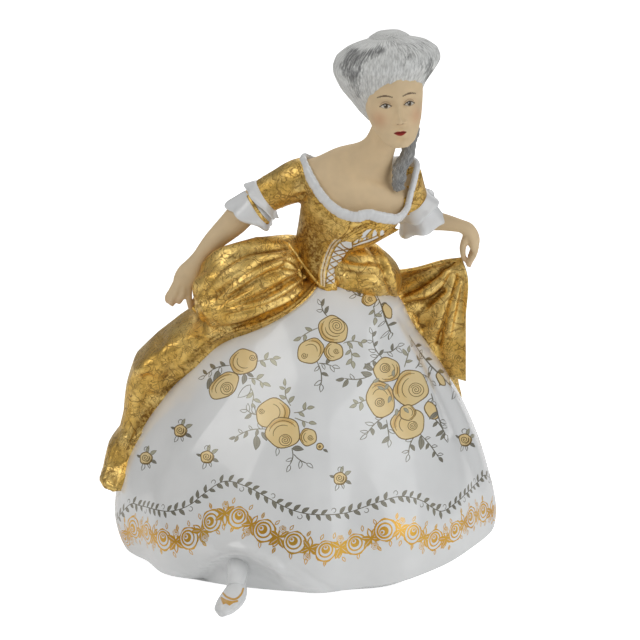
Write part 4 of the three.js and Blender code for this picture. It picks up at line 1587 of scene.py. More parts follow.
    def border_rose(self, spot: Spot, size: float, turn: float) -> None:
        """Draws a rose of the border: open rings that crowd to one side round a solid eye.

        Args:
            spot: Its middle.
            size: Its radius.
            turn: The side that its rings crowd to, in radians.
        """
        ring = np.linspace(0, FULL_TURN, 23)[:-1]
        lobes = 1 + 0.05 * np.cos(6 * ring + turn)
        circle = np.stack([np.cos(ring), np.sin(ring)], axis=1)
        lean = np.array([math.cos(turn), math.sin(turn)])
        self.fill(spot, Paint.GARLAND, circle * lobes[:, None] * size)
        for outer, inner, shift in ((0.86, 0.70, 0.03), (0.54, 0.40, 0.10)):
            self.fill(spot, Paint.BARE, circle * outer * size + lean * shift * size)
            self.fill(spot, Paint.GARLAND, circle * inner * size + lean * (shift + 0.09) * size)
        self.fill(spot, Paint.BARE, circle[::2] * 0.20 * size + lean * 0.34 * size)
        self.fill(spot, Paint.GARLAND, circle[::2] * 0.12 * size + lean * 0.38 * size)

    def gold_border(self) -> None:
        """Draws the rose border round the hem."""
        path = self.border_path(self.rose_border, 9.0, 2.4, -78, 82)
        for i, spot in enumerate(self.travelling(path, 6.5)):
            if i % 2:
                for turn, filled in self.bud_leaves:
                    length = 4.2 + 1.0 * self.chance.random()
                    own = spot.turned((0, 0), turn + 10 * self.chance.standard_normal())
                    self.gold_leaf(own, length, filled)
                bud = spot.turned((0.2, 3.5 if i % 4 == 1 else -3.5))
                self.border_rose(bud, 1.5, 1.0)
            else:
                wobble = 0.7 * self.chance.standard_normal()
                self.border_rose(spot.turned((0, 0.6 * wobble)), 4.6 + 0.2 * wobble, 2.4 + wobble)
        for i, spot in enumerate(self.travelling(path, 3.3)):
            side = 1 if i % 2 else -1
            own = spot.turned((0, side * 4.0), side * (60 + 40 * self.chance.random()))
            self.gold_leaf(own, 2.8, i % 3 == 0)

    def everything(self) -> list[tuple[Paint, Array]]:
        """Draws the whole decoration, and gives its strokes.

        Returns:
            Each stroke's paint and flat outline, the lowest first.
        """
        self.platinum_vine()
        self.gold_border()
        for spray in SPRAYS:
            self.spray(spray)
        self.inner_leaves()
        for spot in self.spots(self.sprigs):
            self.sprig(spot)
        self.back_sprigs()
        return self.strokes

    def back_sprigs(self) -> None:
        """Draws sprigs on the open part of the skirt's right side and back."""
        for degrees, height in ((94, 40), (104, 66), (97, 88)):
            flat = self.cloth.from_skirt(np.array([degrees, height], float))
            narrow = float(self.cloth.narrowing(flat[1]))
            self.sprig(Spot(flat, np.array([(narrow, 0.0), (0.0, 1.0)])))


@dataclass
class Skirt:
    """The glazed skirt with its painted flowers, its rolled hem and the hollow under it."""

    finishes: Finishes
    form: SkirtForm = field(default_factory=SkirtForm)
    step: float = 2.2
    lip: float = 1.2
    foot_in: float = 2.0
    wall: float = 4.0
    hollow: Stations = ((2.0, 7.0), (12.0, 9.0), (30.0, 11.0), (55.0, 14.0), (80.0, 17.0))

    def laid_flat(self, cloth: Cloth, strokes: list[tuple[Paint, Array]]) -> tuple[Array, Array]:
        """The flat cloth cut along the brushwork's outlines.

        Args:
            cloth: The flat cloth.
            strokes: Each stroke's paint and flat outline, the lowest first.

        Returns:
            The flat points, and the triangles.
        """
        columns = round(2 * cloth.width / self.step)
        rows = round(cloth.height / self.step)
        across = np.linspace(-cloth.width, cloth.width, columns + 1)
        up = np.linspace(0, cloth.height, rows + 1)
        grid = np.stack(np.meshgrid(across, up, indexing="ij"), axis=-1).reshape(-1, 2)
        places = [grid]
        edges = []
        start = len(grid)
        for _, outline in strokes:
            count = len(outline)
            ring = start + np.arange(count)
            edges.append(np.stack([ring, np.roll(ring, -1)], axis=1))
            places.append(outline)
            start += count
        flat = np.vstack(places)
        pairs = np.vstack(edges) if edges else np.zeros((0, 2), int)
        result = delaunay_2d_cdt([Vector(p) for p in flat], pairs.tolist(), [], 0, 1e-4, False)
        points = np.array([(p.x, p.y) for p in result[0]])
        triangles = np.array([face for face in result[2] if len(face) == 3], int)
        a, b, c = (points[triangles[:, k]] for k in range(3))
        area = (b - a)[:, 0] * (c - a)[:, 1] - (b - a)[:, 1] * (c - a)[:, 0]
        return points, triangles[np.abs(area) > 1e-7]

    @staticmethod
    def painted(points: Array, triangles: Array, strokes: list[tuple[Paint, Array]]) -> Array:
        """Which paint each triangle takes.

        Args:
            points: The flat points.
            triangles: The triangles between them.
            strokes: Each stroke's paint and flat outline, the lowest first.

        Returns:
            Each triangle's paint, from the last stroke that its middle lies in.
        """
        middles = points[triangles].mean(axis=1)
        paint = np.zeros(len(triangles), int)
        order = np.argsort(middles[:, 0])
        ordered = middles[order]
        for colour, outline in strokes:
            low, high = outline.min(axis=0), outline.max(axis=0)
            first, last = np.searchsorted(ordered[:, 0], [low[0], high[0]])
            near = order[first:last]
            near = near[(middles[near, 1] >= low[1]) & (middles[near, 1] <= high[1])]
            spot = middles[near][:, None]
            a, b = outline[None], np.roll(outline, -1, axis=0)[None]
            side = (b - a)[..., 0] * (spot - a)[..., 1] - (b - a)[..., 1] * (spot - a)[..., 0]
            rising = (a[..., 1] <= spot[..., 1]) & (b[..., 1] > spot[..., 1]) & (side > 0)
            falling = (a[..., 1] > spot[..., 1]) & (b[..., 1] <= spot[..., 1]) & (side < 0)
            inside = rising.sum(axis=1) != falling.sum(axis=1)
            paint[near[inside]] = colour.value
        return paint

    def under(self, degrees: Array) -> Array:
        """Rings from the hem round its lip, over the foot and up inside: [ring, angle, xyz].

        Args:
            degrees: The angles of the hem's points.

        Returns:
            The rings, the outermost first.
        """
        hem = self.form.hem_height(degrees)
        rings = []
        for turn in np.radians((30, 60, 90)):
            drop = np.minimum(self.lip, hem * 0.6)
            inward = -drop * (1 - math.cos(turn))
            rings.append(self.form.place(degrees, hem - drop * math.sin(turn), inward))
        foot = -self.foot_in - hem
        for inward in (0.0, self.wall):
            rings.append(self.form.place(degrees, np.zeros_like(hem), foot - inward))
        for height, inward in self.hollow:
            rings.append(self.form.place(degrees, np.full_like(hem, height), foot * (height < 5) - inward))
        return np.stack(rings)

    def build(self, strokes: list[tuple[Paint, Array]]) -> bpy.types.Object:
        """Makes the skirt's piece.

        Args:
            strokes: Each stroke's paint and flat outline, the lowest first.

        Returns:
            The piece.
        """
        cloth = Cloth(self.form)
        flat, triangles = self.laid_flat(cloth, strokes)
        paint = self.painted(flat, triangles, strokes)
        spots = cloth.to_skirt(flat)
        points = self.form.creased(spots[:, 0], spots[:, 1])
        normals = self.form.facing(spots[:, 0], spots[:, 1])
        a, b, c = (points[triangles[:, k]] for k in range(3))
        turned = (np.cross(b - a, c - a) * normals[triangles[:, 0]]).sum(axis=1) < 0
        triangles[turned] = triangles[turned][:, ::-1]
        seam_left = np.flatnonzero(flat[:, 0] < -cloth.width + 1e-3)
        seam_right = np.flatnonzero(flat[:, 0] > cloth.width - 1e-3)
        onto = np.arange(len(points))
        onto[seam_right[np.argsort(flat[seam_right, 1])]] = seam_left[np.argsort(flat[seam_left, 1])]
        triangles = onto[triangles]
        hem = np.flatnonzero((flat[:, 1] < 1e-3) & (onto == np.arange(len(points))))
        hem = hem[np.argsort(flat[hem, 0])]
        degrees = spots[hem, 0]
        rings = self.under(degrees)
        below = rings.reshape(-1, 3)
        sides = len(hem)
        start = len(points)
        ring_faces = grid_faces(len(rings), sides, wrap=True) + start
        first = start + np.arange(sides)
        joint = np.stack([hem, np.roll(hem, -1), np.roll(first, -1), first], axis=1)
        roof = start + (len(rings) - 1) * sides + np.arange(sides)
        cap = fan_faces(roof, start + len(below))
        top = np.flatnonzero(flat[:, 1] > cloth.height - 1e-3)
        top = top[onto[top] == top]
        top = top[np.argsort(flat[top, 0])]
        lid = fan_faces(top, start + len(below) + 1)[:, ::-1]
        extra = np.stack([rings[-1].mean(axis=0), points[top].mean(axis=0)])
        quads = np.vstack([joint, ring_faces])[:, ::-1]
        every = np.vstack([points, below, extra])
        lower = Form(every, quads, cap)
        shading = lower.normals()
        shading[:start] = normals
        shading[-1] = (0.0, 0.0, 1.0)
        form = Form(every, quads, np.vstack([triangles, cap, lid[:, ::-1]]))
        finish = np.concatenate([np.zeros(len(quads), int), paint, np.zeros(len(cap) + len(lid), int)])
        dress = self.finishes.skirt
        return Piece("painted_skirt", form, Slot.WHITE_GLAZE, dress, finish, normals=shading).cast()


@dataclass
class Overskirt:
    """The gilt train: the panel that hangs from the left front edge round the back to the right."""

    finishes: Finishes
    skirt: SkirtForm = field(default_factory=SkirtForm)
    left_edge: Stations = (
        (-4.5, 111.8), (-10, 109), (-20, 105), (-34, 99.8), (-47, 95.8), (-58, 92.6), (-68, 87), (-74, 76),
        (-82, 62), (-85, 46), (-83, 35), (-79, 27),
    )
    left_swell: Stations = (
        (24, 4), (29, 6), (35, 7), (41, 8), (47, 6.5), (55, 9), (66, 15), (76, 19.5), (84, 18.5), (91, 16),
        (97, 12), (104, 6), (112, 3),
    )
    puff_share: float = 0.75
    puff_heights: tuple[float, float] = (78, 91)
    puff_angles: tuple[float, float] = (50, 85)
    lower_edge: Stations = ((0, 27), (0.1, 24), (0.3, 15), (0.55, 12), (0.72, 22), (0.88, 48), (1, 76))
    rim: Stations = (
        (5.1, 103.2), (3.2, 100.4), (-3.2, 94.1), (-9.1, 90.1), (-14.6, 87.7), (-21.7, 85.4),
        (-28.9, 83.4), (-36.0, 79.8), (-40.3, 76.3), (-44.7, 71.9), (-49.2, 65.8), (-55.3, 58.5),
        (-61.3, 51.8), (-65.2, 45.1),
    )
    edge_round: float = 9.0
    edge_width: float = 22.0
    right: float = -258.0
    top: float = 112.0
    under: float = -2.5
    cover: Stations = ((2.0, 0.15), (1.6, 0.6), (1.0, 0.97))
    rows: int = 92
    edge_columns: int = 38
    side_columns: int = 170
    folds: tuple[Fold, ...] = (
        Fold(-1.5, 2.0, ((-66.0, 66.4), (-55.3, 64.8), (-49.4, 68.8))),
        Fold(1.2, 2.4, ((-65.2, 67.6), (-58.1, 75.5), (-51.4, 79.4))),
        Fold(-1.6, 2.2, ((-50.2, 79.5), (-53.4, 67.6), (-54.5, 61.0))),
        Fold(-1.2, 1.8, ((-65.2, 64.8), (-61.3, 59.7), (-57.3, 58.5))),
        Fold(1.4, 3.0, ((-66.0, 60.0), (-68.5, 50.0), (-70.0, 40.0))),
        Fold(-1.4, 2.2, ((-62.5, 58.0), (-65.5, 48.0), (-66.5, 38.0), (-66.0, 30.0))),
        Fold(1.0, 1.8, ((-71.1, 41.9), (-67.2, 36.0))),
        Fold(-1.0, 1.6, ((-76.3, 30.8), (-69.2, 34.0))),
        Fold(1.0, 2.0, ((-79.8, 26.9), (-73.9, 22.1))),
        Fold(-1.5, 2.4, ((-44.3, 96.4), (-42.0, 89.3), (-41.0, 80.0))),
        Fold(-1.2, 2.2, ((-57.0, 82.0), (-60.0, 72.0), (-63.0, 66.0))),
    )

    def build(self) -> bpy.types.Object:
        """Makes the overskirt's piece.

        Returns:
            The piece.
        """
        down = np.linspace(0, 1, self.rows + 1)[None, :]
        edge = smooth_path(self.left_edge, down[0])
        edge_degrees, edge_height = edge[:, 0][None], edge[:, 1][None]
        per_degree = np.radians(self.skirt.dome(edge_height) + 6)
        from_edge_mm = (np.linspace(0, 1, self.edge_columns) ** 1.5 * self.edge_width)[:, None]
        side = edge_degrees - self.edge_width / per_degree
        share = (np.arange(1, self.side_columns + 1) / self.side_columns)[:, None]
        degrees = np.vstack([edge_degrees - from_edge_mm / per_degree, side + (self.right - side) * share])
        from_edge = edge_degrees - degrees
        around = from_edge / (edge_degrees - self.right)
        hem = np.array(self.lower_edge)
        level = self.top + (np.interp(around, hem[:, 0], hem[:, 1]) - self.top) * down
        height = edge_height + (level - edge_height) * smoothstep(from_edge, 0, 70)
        travelled = from_edge * per_degree
        rise = np.sqrt(1 - (1 - np.minimum(travelled / self.edge_round, 1)) ** 2)
        left_share = 1 - smoothstep(-degrees, 100, 160)
        turn = np.radians(degrees)
        pleats = 4.8 + 2.2 * np.cos(9 * turn) * smoothstep(-degrees, 95, 125)
        fine = 0.5 * np.cos(27 * turn + 4 * down) * smoothstep(-degrees, 110, 135)
        back = pleats * smoothstep(-degrees, 95, 150) * (1 - 0.8 * smoothstep(-degrees, 225, 258))
        back = back + fine * (1 - bell(down, 0, 0.2))
        swell = np.array(self.left_swell)
        hem_roll = 0.5 * bell(travelled, 1.3, 0.7) + 0.4 * bell(travelled, 3.4, 0.7)
        hem_roll = hem_roll + 0.6 * bell((1 - down) * 90, 2.0, 1.2) * (travelled > 0)
        under_puff = smoothstep(height, *self.puff_heights) * (1 - smoothstep(-degrees, *self.puff_angles))
        left = np.interp(height, swell[:, 0], swell[:, 1]) * left_share * (1 - self.puff_share * under_puff)
        proud = 1.4 + rise * (left + back) + hem_roll
        outer = self.skirt.place(degrees, height, proud)
        inner = self.skirt.place(degrees, height, self.under)
        waist = self.skirt.dome(self.top)
        levels = [(self.top + up, share * waist) for up, share in self.cover]
        start = degrees[:, :1]
        cover = [self.skirt.place(start, up, radius - self.skirt.dome(up)) for up, radius in levels]
        rings = np.concatenate([*cover, outer, inner[:, ::-1]], axis=1)
        form = loft(rings).folded(self.folds)
        places = seen(form.points)
        front = form.normals() @ SEEN_IN < 0.2
        brown = np.zeros(len(places))
        for inset, width in ((0.9, 0.34), (2.3, 0.5)):
            line = smooth_path(self.rim, np.linspace(0, 1, 90)) + np.array([-0.45, 0.89]) * inset
            brown = np.maximum(brown, 0.9 * bell(distance_to_path(places, line), 0.0, width) * front)
        return self.finishes.gilt("gilt_overskirt", form, gilt_paint_with_hollow_shade(form, brown))


@dataclass
class Puffs:
    """The gathered puffs of the overskirt on both sides of the waist."""

    finishes: Finishes
    left: Stations = (
        (4, -4, 117, 8, 8), (-4, -4.2, 116.6, 12.6, 10.8), (-14, -9, 113.4, 17, 15.6),
        (-24, -12.6, 109.8, 18, 16.4), (-33, -12, 105, 15.2, 13.8), (-38.4, -8.5, 101, 7.4, 7.6),
        (-42, -6.6, 100.3, 3.4, 3.2), (-44.6, -6.5, 100.4, 1.2, 1.2),
    )
    right: Stations = (
        (11, -4, 116, 9, 8), (17, -5, 116, 11, 12), (24, -4, 114.6, 10.6, 13), (30, -1, 110.6, 8.6, 11),
        (33.6, 1, 105.5, 5, 6), (35, 2, 102.5, 1.5, 2),
    )
    left_folds: tuple[Fold, ...] = (
        Fold(-1.7, 1.5, (
            (-39.4, 101.0), (-33.7, 108.1), (-28.7, 112.4), (-23.0, 115.6), (-17.3, 116.7),
            (-11.6, 117.4), (-7.3, 117.8),
        )),
        Fold(-1.5, 1.3, (
            (-35.9, 98.1), (-28.7, 103.8), (-23.0, 108.1), (-17.3, 112.1), (-11.6, 114.2),
            (-7.3, 115.3),
        )),
        Fold(-1.6, 1.4, (
            (-33.7, 95.3), (-27.3, 99.5), (-20.1, 104.2), (-14.4, 107.4), (-10.1, 108.8), (-7.3, 111.0),
        )),
        Fold(-1.7, 1.4, (
            (-30.9, 93.8), (-23.7, 96.3), (-17.3, 98.5), (-11.6, 101.3), (-5.9, 104.9), (-0.8, 107.4),
        )),
        Fold(-1.3, 1.2, (
            (-30.2, 91.0), (-23.0, 92.8), (-14.4, 95.3), (-7.3, 98.8), (-0.8, 103.8), (2.0, 105.3),
        )),
        Fold(-1.2, 1.3, (
            (-35.9, 86.0), (-28.7, 86.7), (-21.6, 88.8), (-14.4, 91.7), (-5.9, 95.3), (1.3, 100.3),
            (4.9, 102.4),
        )),
        Fold(0.9, 1.4, (
            (-40.9, 97.4), (-35.9, 104.6), (-30.2, 109.9), (-23.7, 113.5), (-15.9, 114.9),
            (-8.0, 116.3),
        )),
        Fold(0.9, 1.3, ((-33.7, 97.4), (-27.3, 101.7), (-20.1, 106.7), (-13.0, 110.6), (-8.0, 112.8))),
        Fold(0.8, 1.3, ((-32.3, 94.5), (-25.1, 98.1), (-17.3, 102.1), (-10.1, 105.3), (-3.0, 108.1))),
        Fold(0.9, 1.4, ((-30.9, 92.4), (-23.0, 94.5), (-15.1, 96.7), (-7.3, 101.0), (-0.1, 106.0))),
        Fold(0.9, 1.6, ((-33.0, 88.1), (-25.1, 89.5), (-15.9, 93.1), (-7.3, 96.7), (0.6, 102.4))),
        Fold(-0.9, 0.8, ((-8.0, 113.5), (-4.4, 112.1), (-0.8, 108.5))),
        Fold(-0.8, 0.7, ((-8.7, 110.3), (-5.1, 109.6), (-0.8, 107.4))),
        Fold(-1.0, 1.0, ((-42.7, 95.3), (-40.2, 90.6), (-37.7, 86.0))),
        Fold(0.8, 1.2, ((-41.2, 96.0), (-38.6, 91.0), (-35.9, 86.7))),
    )
    right_folds: tuple[Fold, ...] = (
        Fold(-1.0, 1.5, ((15.5, 113.5), (21.0, 112.0), (27.5, 112.3), (31.5, 110.0))),
        Fold(-0.9, 1.3, ((14.5, 108.8), (21.5, 108.2), (28.5, 107.2), (33.0, 104.5))),
        Fold(0.7, 1.6, ((15.0, 111.0), (22.0, 110.2), (29.0, 109.8))),
        Fold(0.9, 1.0, ((26.5, 119.8), (31.6, 113.8), (34.4, 107.1), (36.4, 98.4))),
        Fold(-0.9, 0.9, ((24.5, 118.6), (29.6, 113.0), (32.2, 107.0), (34.0, 100.0))),
        Fold(0.7, 1.0, ((15.8, 105.3), (20.9, 105.7), (26.5, 104.6), (30.8, 102.2))),
    )

    def build(self) -> list[bpy.types.Object]:
        """Makes both puffs.

        Returns:
            The left and the right puff.
        """
        left = limb(
            self.left,
            across=(0.2, 0, 1),
            sides=170,
            steps=150,
            swell=lambda angle, along: 1 + 0.06 * np.sin(math.pi * along) * np.cos(7 * angle),
        )
        right = limb(self.right, across=(0.5, 0, 1), sides=130, steps=100)
        return [
            self.finishes.gilt("left_puff", left.folded(self.left_folds)),
            self.finishes.gilt("right_puff", right.folded(self.right_folds)),
        ]


@dataclass
class Wing:
    """The panel of the overskirt that the hand on the right holds out."""

    finishes: Finishes
    top: Stations = ((28, 9, 111), (36, 9, 111.5), (44, 9, 112.5), (53.4, 9, 115), (62, 8, 116.5))
    inner: Stations = ((28, 9, 111), (36, 10, 98), (46, 12, 80), (53, 12, 67))
    outer: Stations = ((62, 8, 116.5), (64.5, 6.5, 108), (63.6, 4, 91), (63.8, 5, 66))
    thickness: float = 2.8
    columns: int = 120
    rows: int = 96
    folds: tuple[Fold, ...] = (
        Fold(-1.6, 1.3, ((60.3, 113.3), (49.4, 105.9), (43.5, 102.0), (37.5, 98.4))),
        Fold(1.3, 1.6, ((55.5, 108.6), (53.4, 103.2), (49.4, 100.2), (44.7, 99.4), (37.5, 98.6))),
        Fold(-1.4, 1.2, ((54.0, 101.0), (49.4, 97.0), (44.7, 96.0), (38.5, 95.2))),
        Fold(1.2, 2.0, ((54.4, 98.2), (45.5, 89.3))),
        Fold(-2.0, 1.4, ((59.8, 106.1), (57.3, 97.2), (55.3, 89.3), (52.2, 79.4))),
        Fold(1.2, 1.3, ((60.9, 104.2), (58.6, 94.3), (57.0, 84.0))),
        Fold(-1.8, 2.4, ((52.2, 82.4), (53.4, 73.5), (56.5, 65.6))),
    )

    def build(self) -> bpy.types.Object:
        """Makes the panel's piece.

        Returns:
            The piece.
        """
        across = np.linspace(0, 1, self.columns + 1)
        down = np.linspace(0, 1, self.rows + 1)
        inner, outer = smooth_path(self.inner, down)[None], smooth_path(self.outer, down)[None]
        share = across[:, None, None]
        straight = inner[:, :1] + (outer[:, :1] - inner[:, :1]) * share
        lift = (smooth_path(self.top, across)[:, None] - straight) * (1 - down[None, :, None]) ** 2
        sheet = inner + (outer - inner) * share + lift
        pinch = np.array(self.outer[0])
        away = np.hypot(sheet[..., 0] - pinch[0], sheet[..., 2] - pinch[2])
        ray = np.arctan2(pinch[0] - sheet[..., 0], pinch[2] - sheet[..., 2])
        fold = 2.2 * np.cos(11 * ray) * smoothstep(away, 3, 22) * (1 - 0.5 * down[None])
        half = (self.thickness / 2) * (1 + 0.4 * (1 - across[:, None])) * np.ones_like(fold)
        edge = np.minimum(1 - across[:, None], np.minimum(down, 1 - down)[None] * 0.6) * 50
        half = half * np.sqrt(1 - (1 - np.clip(edge, 0.02, 1)) ** 2)
        front, back = sheet.copy(), sheet.copy()
        front[..., 1] += fold - half
        back[..., 1] += fold + half
        form = loft(np.concatenate([front, back[:, ::-1]], axis=1)).folded(self.folds)
        return self.finishes.gilt("held_panel", form)


def inside_outline(places: Array, outline: Stations) -> Array:
    """Whether each place of the picture lies inside an outline.

    Args:
        places: Places in the picture.
        outline: The outline's corners, in turn.

    Returns:
        True for each place inside.
    """
    a = np.asarray(outline, float)[None]
    b = np.roll(a, -1, axis=1)
    spot = places[:, None]
    crosses = (a[..., 1] > spot[..., 1]) != (b[..., 1] > spot[..., 1])
    slope = (b[..., 0] - a[..., 0]) / np.where(b[..., 1] == a[..., 1], 1e-9, b[..., 1] - a[..., 1])
    left_of = spot[..., 0] < a[..., 0] + slope * (spot[..., 1] - a[..., 1])
    return (crosses & left_of).sum(axis=1) % 2 == 1


@dataclass
class Body:
    """The flesh: neck, chest, arms and hands, and the bodice and sleeves over it."""

    finishes: Finishes
    torso: Stations = (
        (9.5, -8, 108, 4.5, 8), (6.2, -6, 118, 9.4, 9.6), (9.4, -7, 130, 12.4, 11),
        (17, -10.5, 143, 20, 14), (20.5, -10, 151.5, 22.2, 13), (23, -8.8, 157.3, 16, 10),
        (26.4, -10.8, 162.3, 9.6, 7.8), (29.2, -12.7, 167, 7, 6.8), (33, -16, 180, 6, 6),
    )
    neckline: Stations = (
        (-0.8, -8, 161), (0.4, -14, 158.6), (4, -20, 153.3), (7.5, -23, 148.9), (13.4, -25.5, 144.4),
        (19.8, -26.5, 142.6), (24.9, -26.5, 143.6), (30.4, -25, 141.9), (36.4, -21, 140.4), (40, -16, 143),
        (41.5, -12.5, 148), (43.2, -9, 153.9), (43.8, -5, 158.4), (39, -1.5, 158.5), (31, 0.5, 156.5),
        (22, 1, 156), (13, 0, 157), (3.4, -3.2, 158.2),
    )
    left_arm: Stations = (
        (6, -8.5, 154, 8), (-2, -8, 152.5, 8), (-9, -6, 149, 6.9), (-16, -4.5, 145, 6.1),
        (-23, -3.5, 139.5, 5.8), (-28, -3.5, 134, 5.4), (-36.4, -5, 126.3, 4), (-41.3, -6, 120.6, 3.1),
    )
    right_arm: Stations = (
        (38, -4, 153, 7.5), (40, -1, 147, 6.8), (42, 2, 140, 6.2), (43.5, 4, 134.5, 5.4), (48, 4, 133, 4.2),
        (55, 2, 132.5, 3.4), (61.5, 0.5, 131.4, 2.6),
    )
    left_palm: Stations = (
        (-40.6, -6, 121.4, 3.2, 2.8), (-43.4, -6.8, 117.8, 3.7, 2.4), (-46.4, -7.6, 113.6, 4.7, 2.3),
        (-48.6, -8.2, 110, 4.2, 1.9),
    )
    left_fingers: tuple[Stations, ...] = (
        (
            (-50.4, -8, 111.2, 1.5), (-52.6, -8.6, 107.2, 1.4), (-54.2, -8.4, 104.4, 1.3),
            (-53.8, -7.8, 102.2, 1),
        ),
        (
            (-49.2, -9, 110.4, 1.5), (-51.2, -9.8, 106.2, 1.5), (-52.6, -9.6, 103.8, 1.4),
            (-52.2, -9, 101.4, 1),
        ),
        (
            (-47.8, -9.2, 109.8, 1.5), (-48, -10, 106.6, 1.5), (-49.2, -9.8, 104.4, 1.4),
            (-50, -9.2, 102.4, 1),
        ),
        (
            (-46, -8.6, 110.4, 1.6), (-45.8, -9.4, 106.4, 1.4), (-45.6, -8.2, 102.4, 1.2),
            (-45.2, -6.8, 99.6, 1),
        ),
        (
            (-43.4, -6.4, 114.6, 1.9), (-42, -6.4, 109.4, 1.6), (-42.4, -6.6, 105, 1.4),
            (-44.4, -6.4, 100.6, 1.1),
        ),
    )
    right_palm: Stations = (
        (60.8, 0.6, 131.6, 2.6, 2.5), (64, 1, 130, 3, 2.8), (66.4, 2.4, 126.4, 3.6, 2.3),
        (67, 4, 122.4, 3.6, 1.9),
    )
    right_fingers: tuple[Stations, ...] = (
        ((67.6, 2.4, 122.6, 1.3), (66.8, 2.4, 119.4, 1.25), (65, 3.4, 116.4, 1.1), (64.2, 4.2, 114, 0.9)),
        ((67.4, 4.4, 122.4, 1.4), (66.8, 4.6, 118.8, 1.3), (65.4, 5.4, 115.6, 1.15), (64.6, 6, 113, 0.9)),
        ((67, 6.2, 122.6, 1.3), (66, 6.8, 119, 1.2), (64.8, 7.2, 116.4, 1)),
        ((63.8, 0.8, 127.4, 1.6), (62.4, 1.4, 123, 1.4), (62.4, 3.6, 119, 1.2), (63, 5, 115.8, 0.9)),
    )
    left_sleeve: Stations = (
        (6, -8.5, 154, 8.6), (-2, -8, 152.5, 8.6), (-9, -6, 149, 7.6), (-15.6, -4.6, 145.2, 6.9),
        (-17, -4.4, 144.4, 6.4),
    )
    right_sleeve: Stations = (
        (38, -4, 153, 8.1), (40, -1, 147, 7.4), (42, 2, 140.3, 6.9), (42.6, 2.6, 138.6, 6.2),
    )
    bodice_folds: tuple[Fold, ...] = (
        Fold(0.8, 1.2, ((6.2, 103.0), (6.6, 110.0), (8.6, 116.0), (12.4, 121.4), (18.0, 126.5))),
        Fold(-0.8, 1.4, ((-3.2, 137.5), (2.0, 138.5), (6.0, 135.0))),
        Fold(0.5, 2.5, ((-1.5, 136.0), (0.5, 126.0), (2.5, 114.0))),
        Fold(-0.5, 1.6, ((8.0, 132.0), (13.0, 127.5), (20.0, 123.5))),
    )
    inside: Place = (23.0, -4.0, 150.0)
    neck: Place = (27.0, -9.0, 168.0)
    skin_voxel: float = 0.55
    bodice_voxel: float = 0.52

    def above_neckline(self, points: Array) -> Array:
        """How far each point is above the neckline, towards the neck; below it, less than zero.

        Args:
            points: Points on the flesh or the bodice.

        Returns:
            One distance for each point.
        """
        line = smooth_path(self.neckline, np.arange(240) / 240, closed=True)
        neck = np.array(self.neck)
        result = np.empty(len(points))
        for start in range(0, len(points), 4000):
            part = points[start : start + 4000]
            nearest = line[((part[:, None] - line[None]) ** 2).sum(axis=2).argmin(axis=1)]
            result[start : start + 4000] = ((part - nearest) * unit(neck - nearest)).sum(axis=1)
        return result

    def build_flesh(self) -> bpy.types.Object:
        """Makes the neck, chest, arms and hands.

        Returns:
            The piece.
        """
        upright = (0, 0, 1)
        parts = [
            limb(self.torso, (0.86, 0, -0.5), (1.2, 0, 0.1), sides=72, steps=90),
            limb(self.left_arm, upright, sides=48, steps=60),
            limb(self.right_arm, upright, sides=48, steps=60),
            limb(self.left_palm, (0.8, 0, 0.6), sides=32, steps=24),
            limb(self.right_palm, (0.3, 1, 0), sides=32, steps=24),
        ]
        for finger in self.left_fingers + self.right_fingers:
            parts.append(limb(finger, (0, 1, 0.2), sides=20, steps=24))
        form = melted(parts[0].joined(*parts[1:]), self.skin_voxel, 5)
        chest = smoothstep(form.points[:, 2], 136, 146) * smoothstep(form.points[:, 0], -22, -12)
        form = form.eased(180, chest)
        x, z = form.points[:, 0], form.points[:, 2]
        sleeved = smoothstep(x, -14.0, -12.0) * (1 - smoothstep(x, 36, 38) * (1 - smoothstep(z, 139, 142)))
        form = form.raised(-1.3 * smoothstep(-self.above_neckline(form.points), 0.5, 2.5) * sleeved)
        paint = np.tile(FLESH, (len(form.points), 1))
        tips = np.array([f[-1][:3] for f in self.left_fingers + self.right_fingers])
        near = np.min([np.linalg.norm(form.points - tip, axis=1) for tip in tips], axis=0)
        pink = 0.35 * bell(near, 0.0, 3.0)[:, None]
        paint = paint * (1 - pink) + np.array(BLUSH) * pink
        return self.finishes.flesh("neck_arms_and_hands", form, paint)

    def build_bodice(self) -> bpy.types.Object:
        """Makes the gilt bodice and sleeves, which dive into the flesh at the neckline.

        Returns:
            The piece.
        """
        parts = [
            limb(self.torso[:8], (0.86, 0, -0.5), (1.15, 0, 0.02), sides=72, steps=90, grow=0.6),
            limb(self.left_sleeve, (0, 0, 1), sides=48, steps=48),
            limb(self.right_sleeve, (0, 0, 1), sides=48, steps=48),
        ]
        form = melted(parts[0].joined(*parts[1:]), self.bodice_voxel, 4)
        above = self.above_neckline(form.points)
        form = form.raised(-2.2 * smoothstep(above, -0.5, 1.5)).folded(self.bodice_folds)
        inward = 0.5 * smoothstep(above, 0.8, 4.5)[:, None]
        form.points[:] += (np.array(self.inside) - form.points) * inward
        above = self.above_neckline(form.points)
        places = seen(form.points)
        # A brown tone over the whole bodice, deepened by painted shade at the waist.
        waist = np.array([(1.2, 124.0), (3.2, 114.0), (7.0, 106.0)])
        shade = 0.22 + 0.68 * np.exp(-((distance_to_path(places, waist) / 7.5) ** 2))
        # A painted shadow line just below the neck frill.
        shade = np.maximum(shade, 0.8 * bell(above, -2.8, 0.35))
        return self.finishes.gilt("gilt_bodice", form, gilt_paint_with_hollow_shade(form, shade))

    def build(self) -> bpy.types.Object:
        """Makes the flesh, the bodice and the stomacher on it, and gives the bodice."""
        self.build_flesh()
        bodice = self.build_bodice()
        Stomacher(self.finishes).build(bodice)
        return bodice


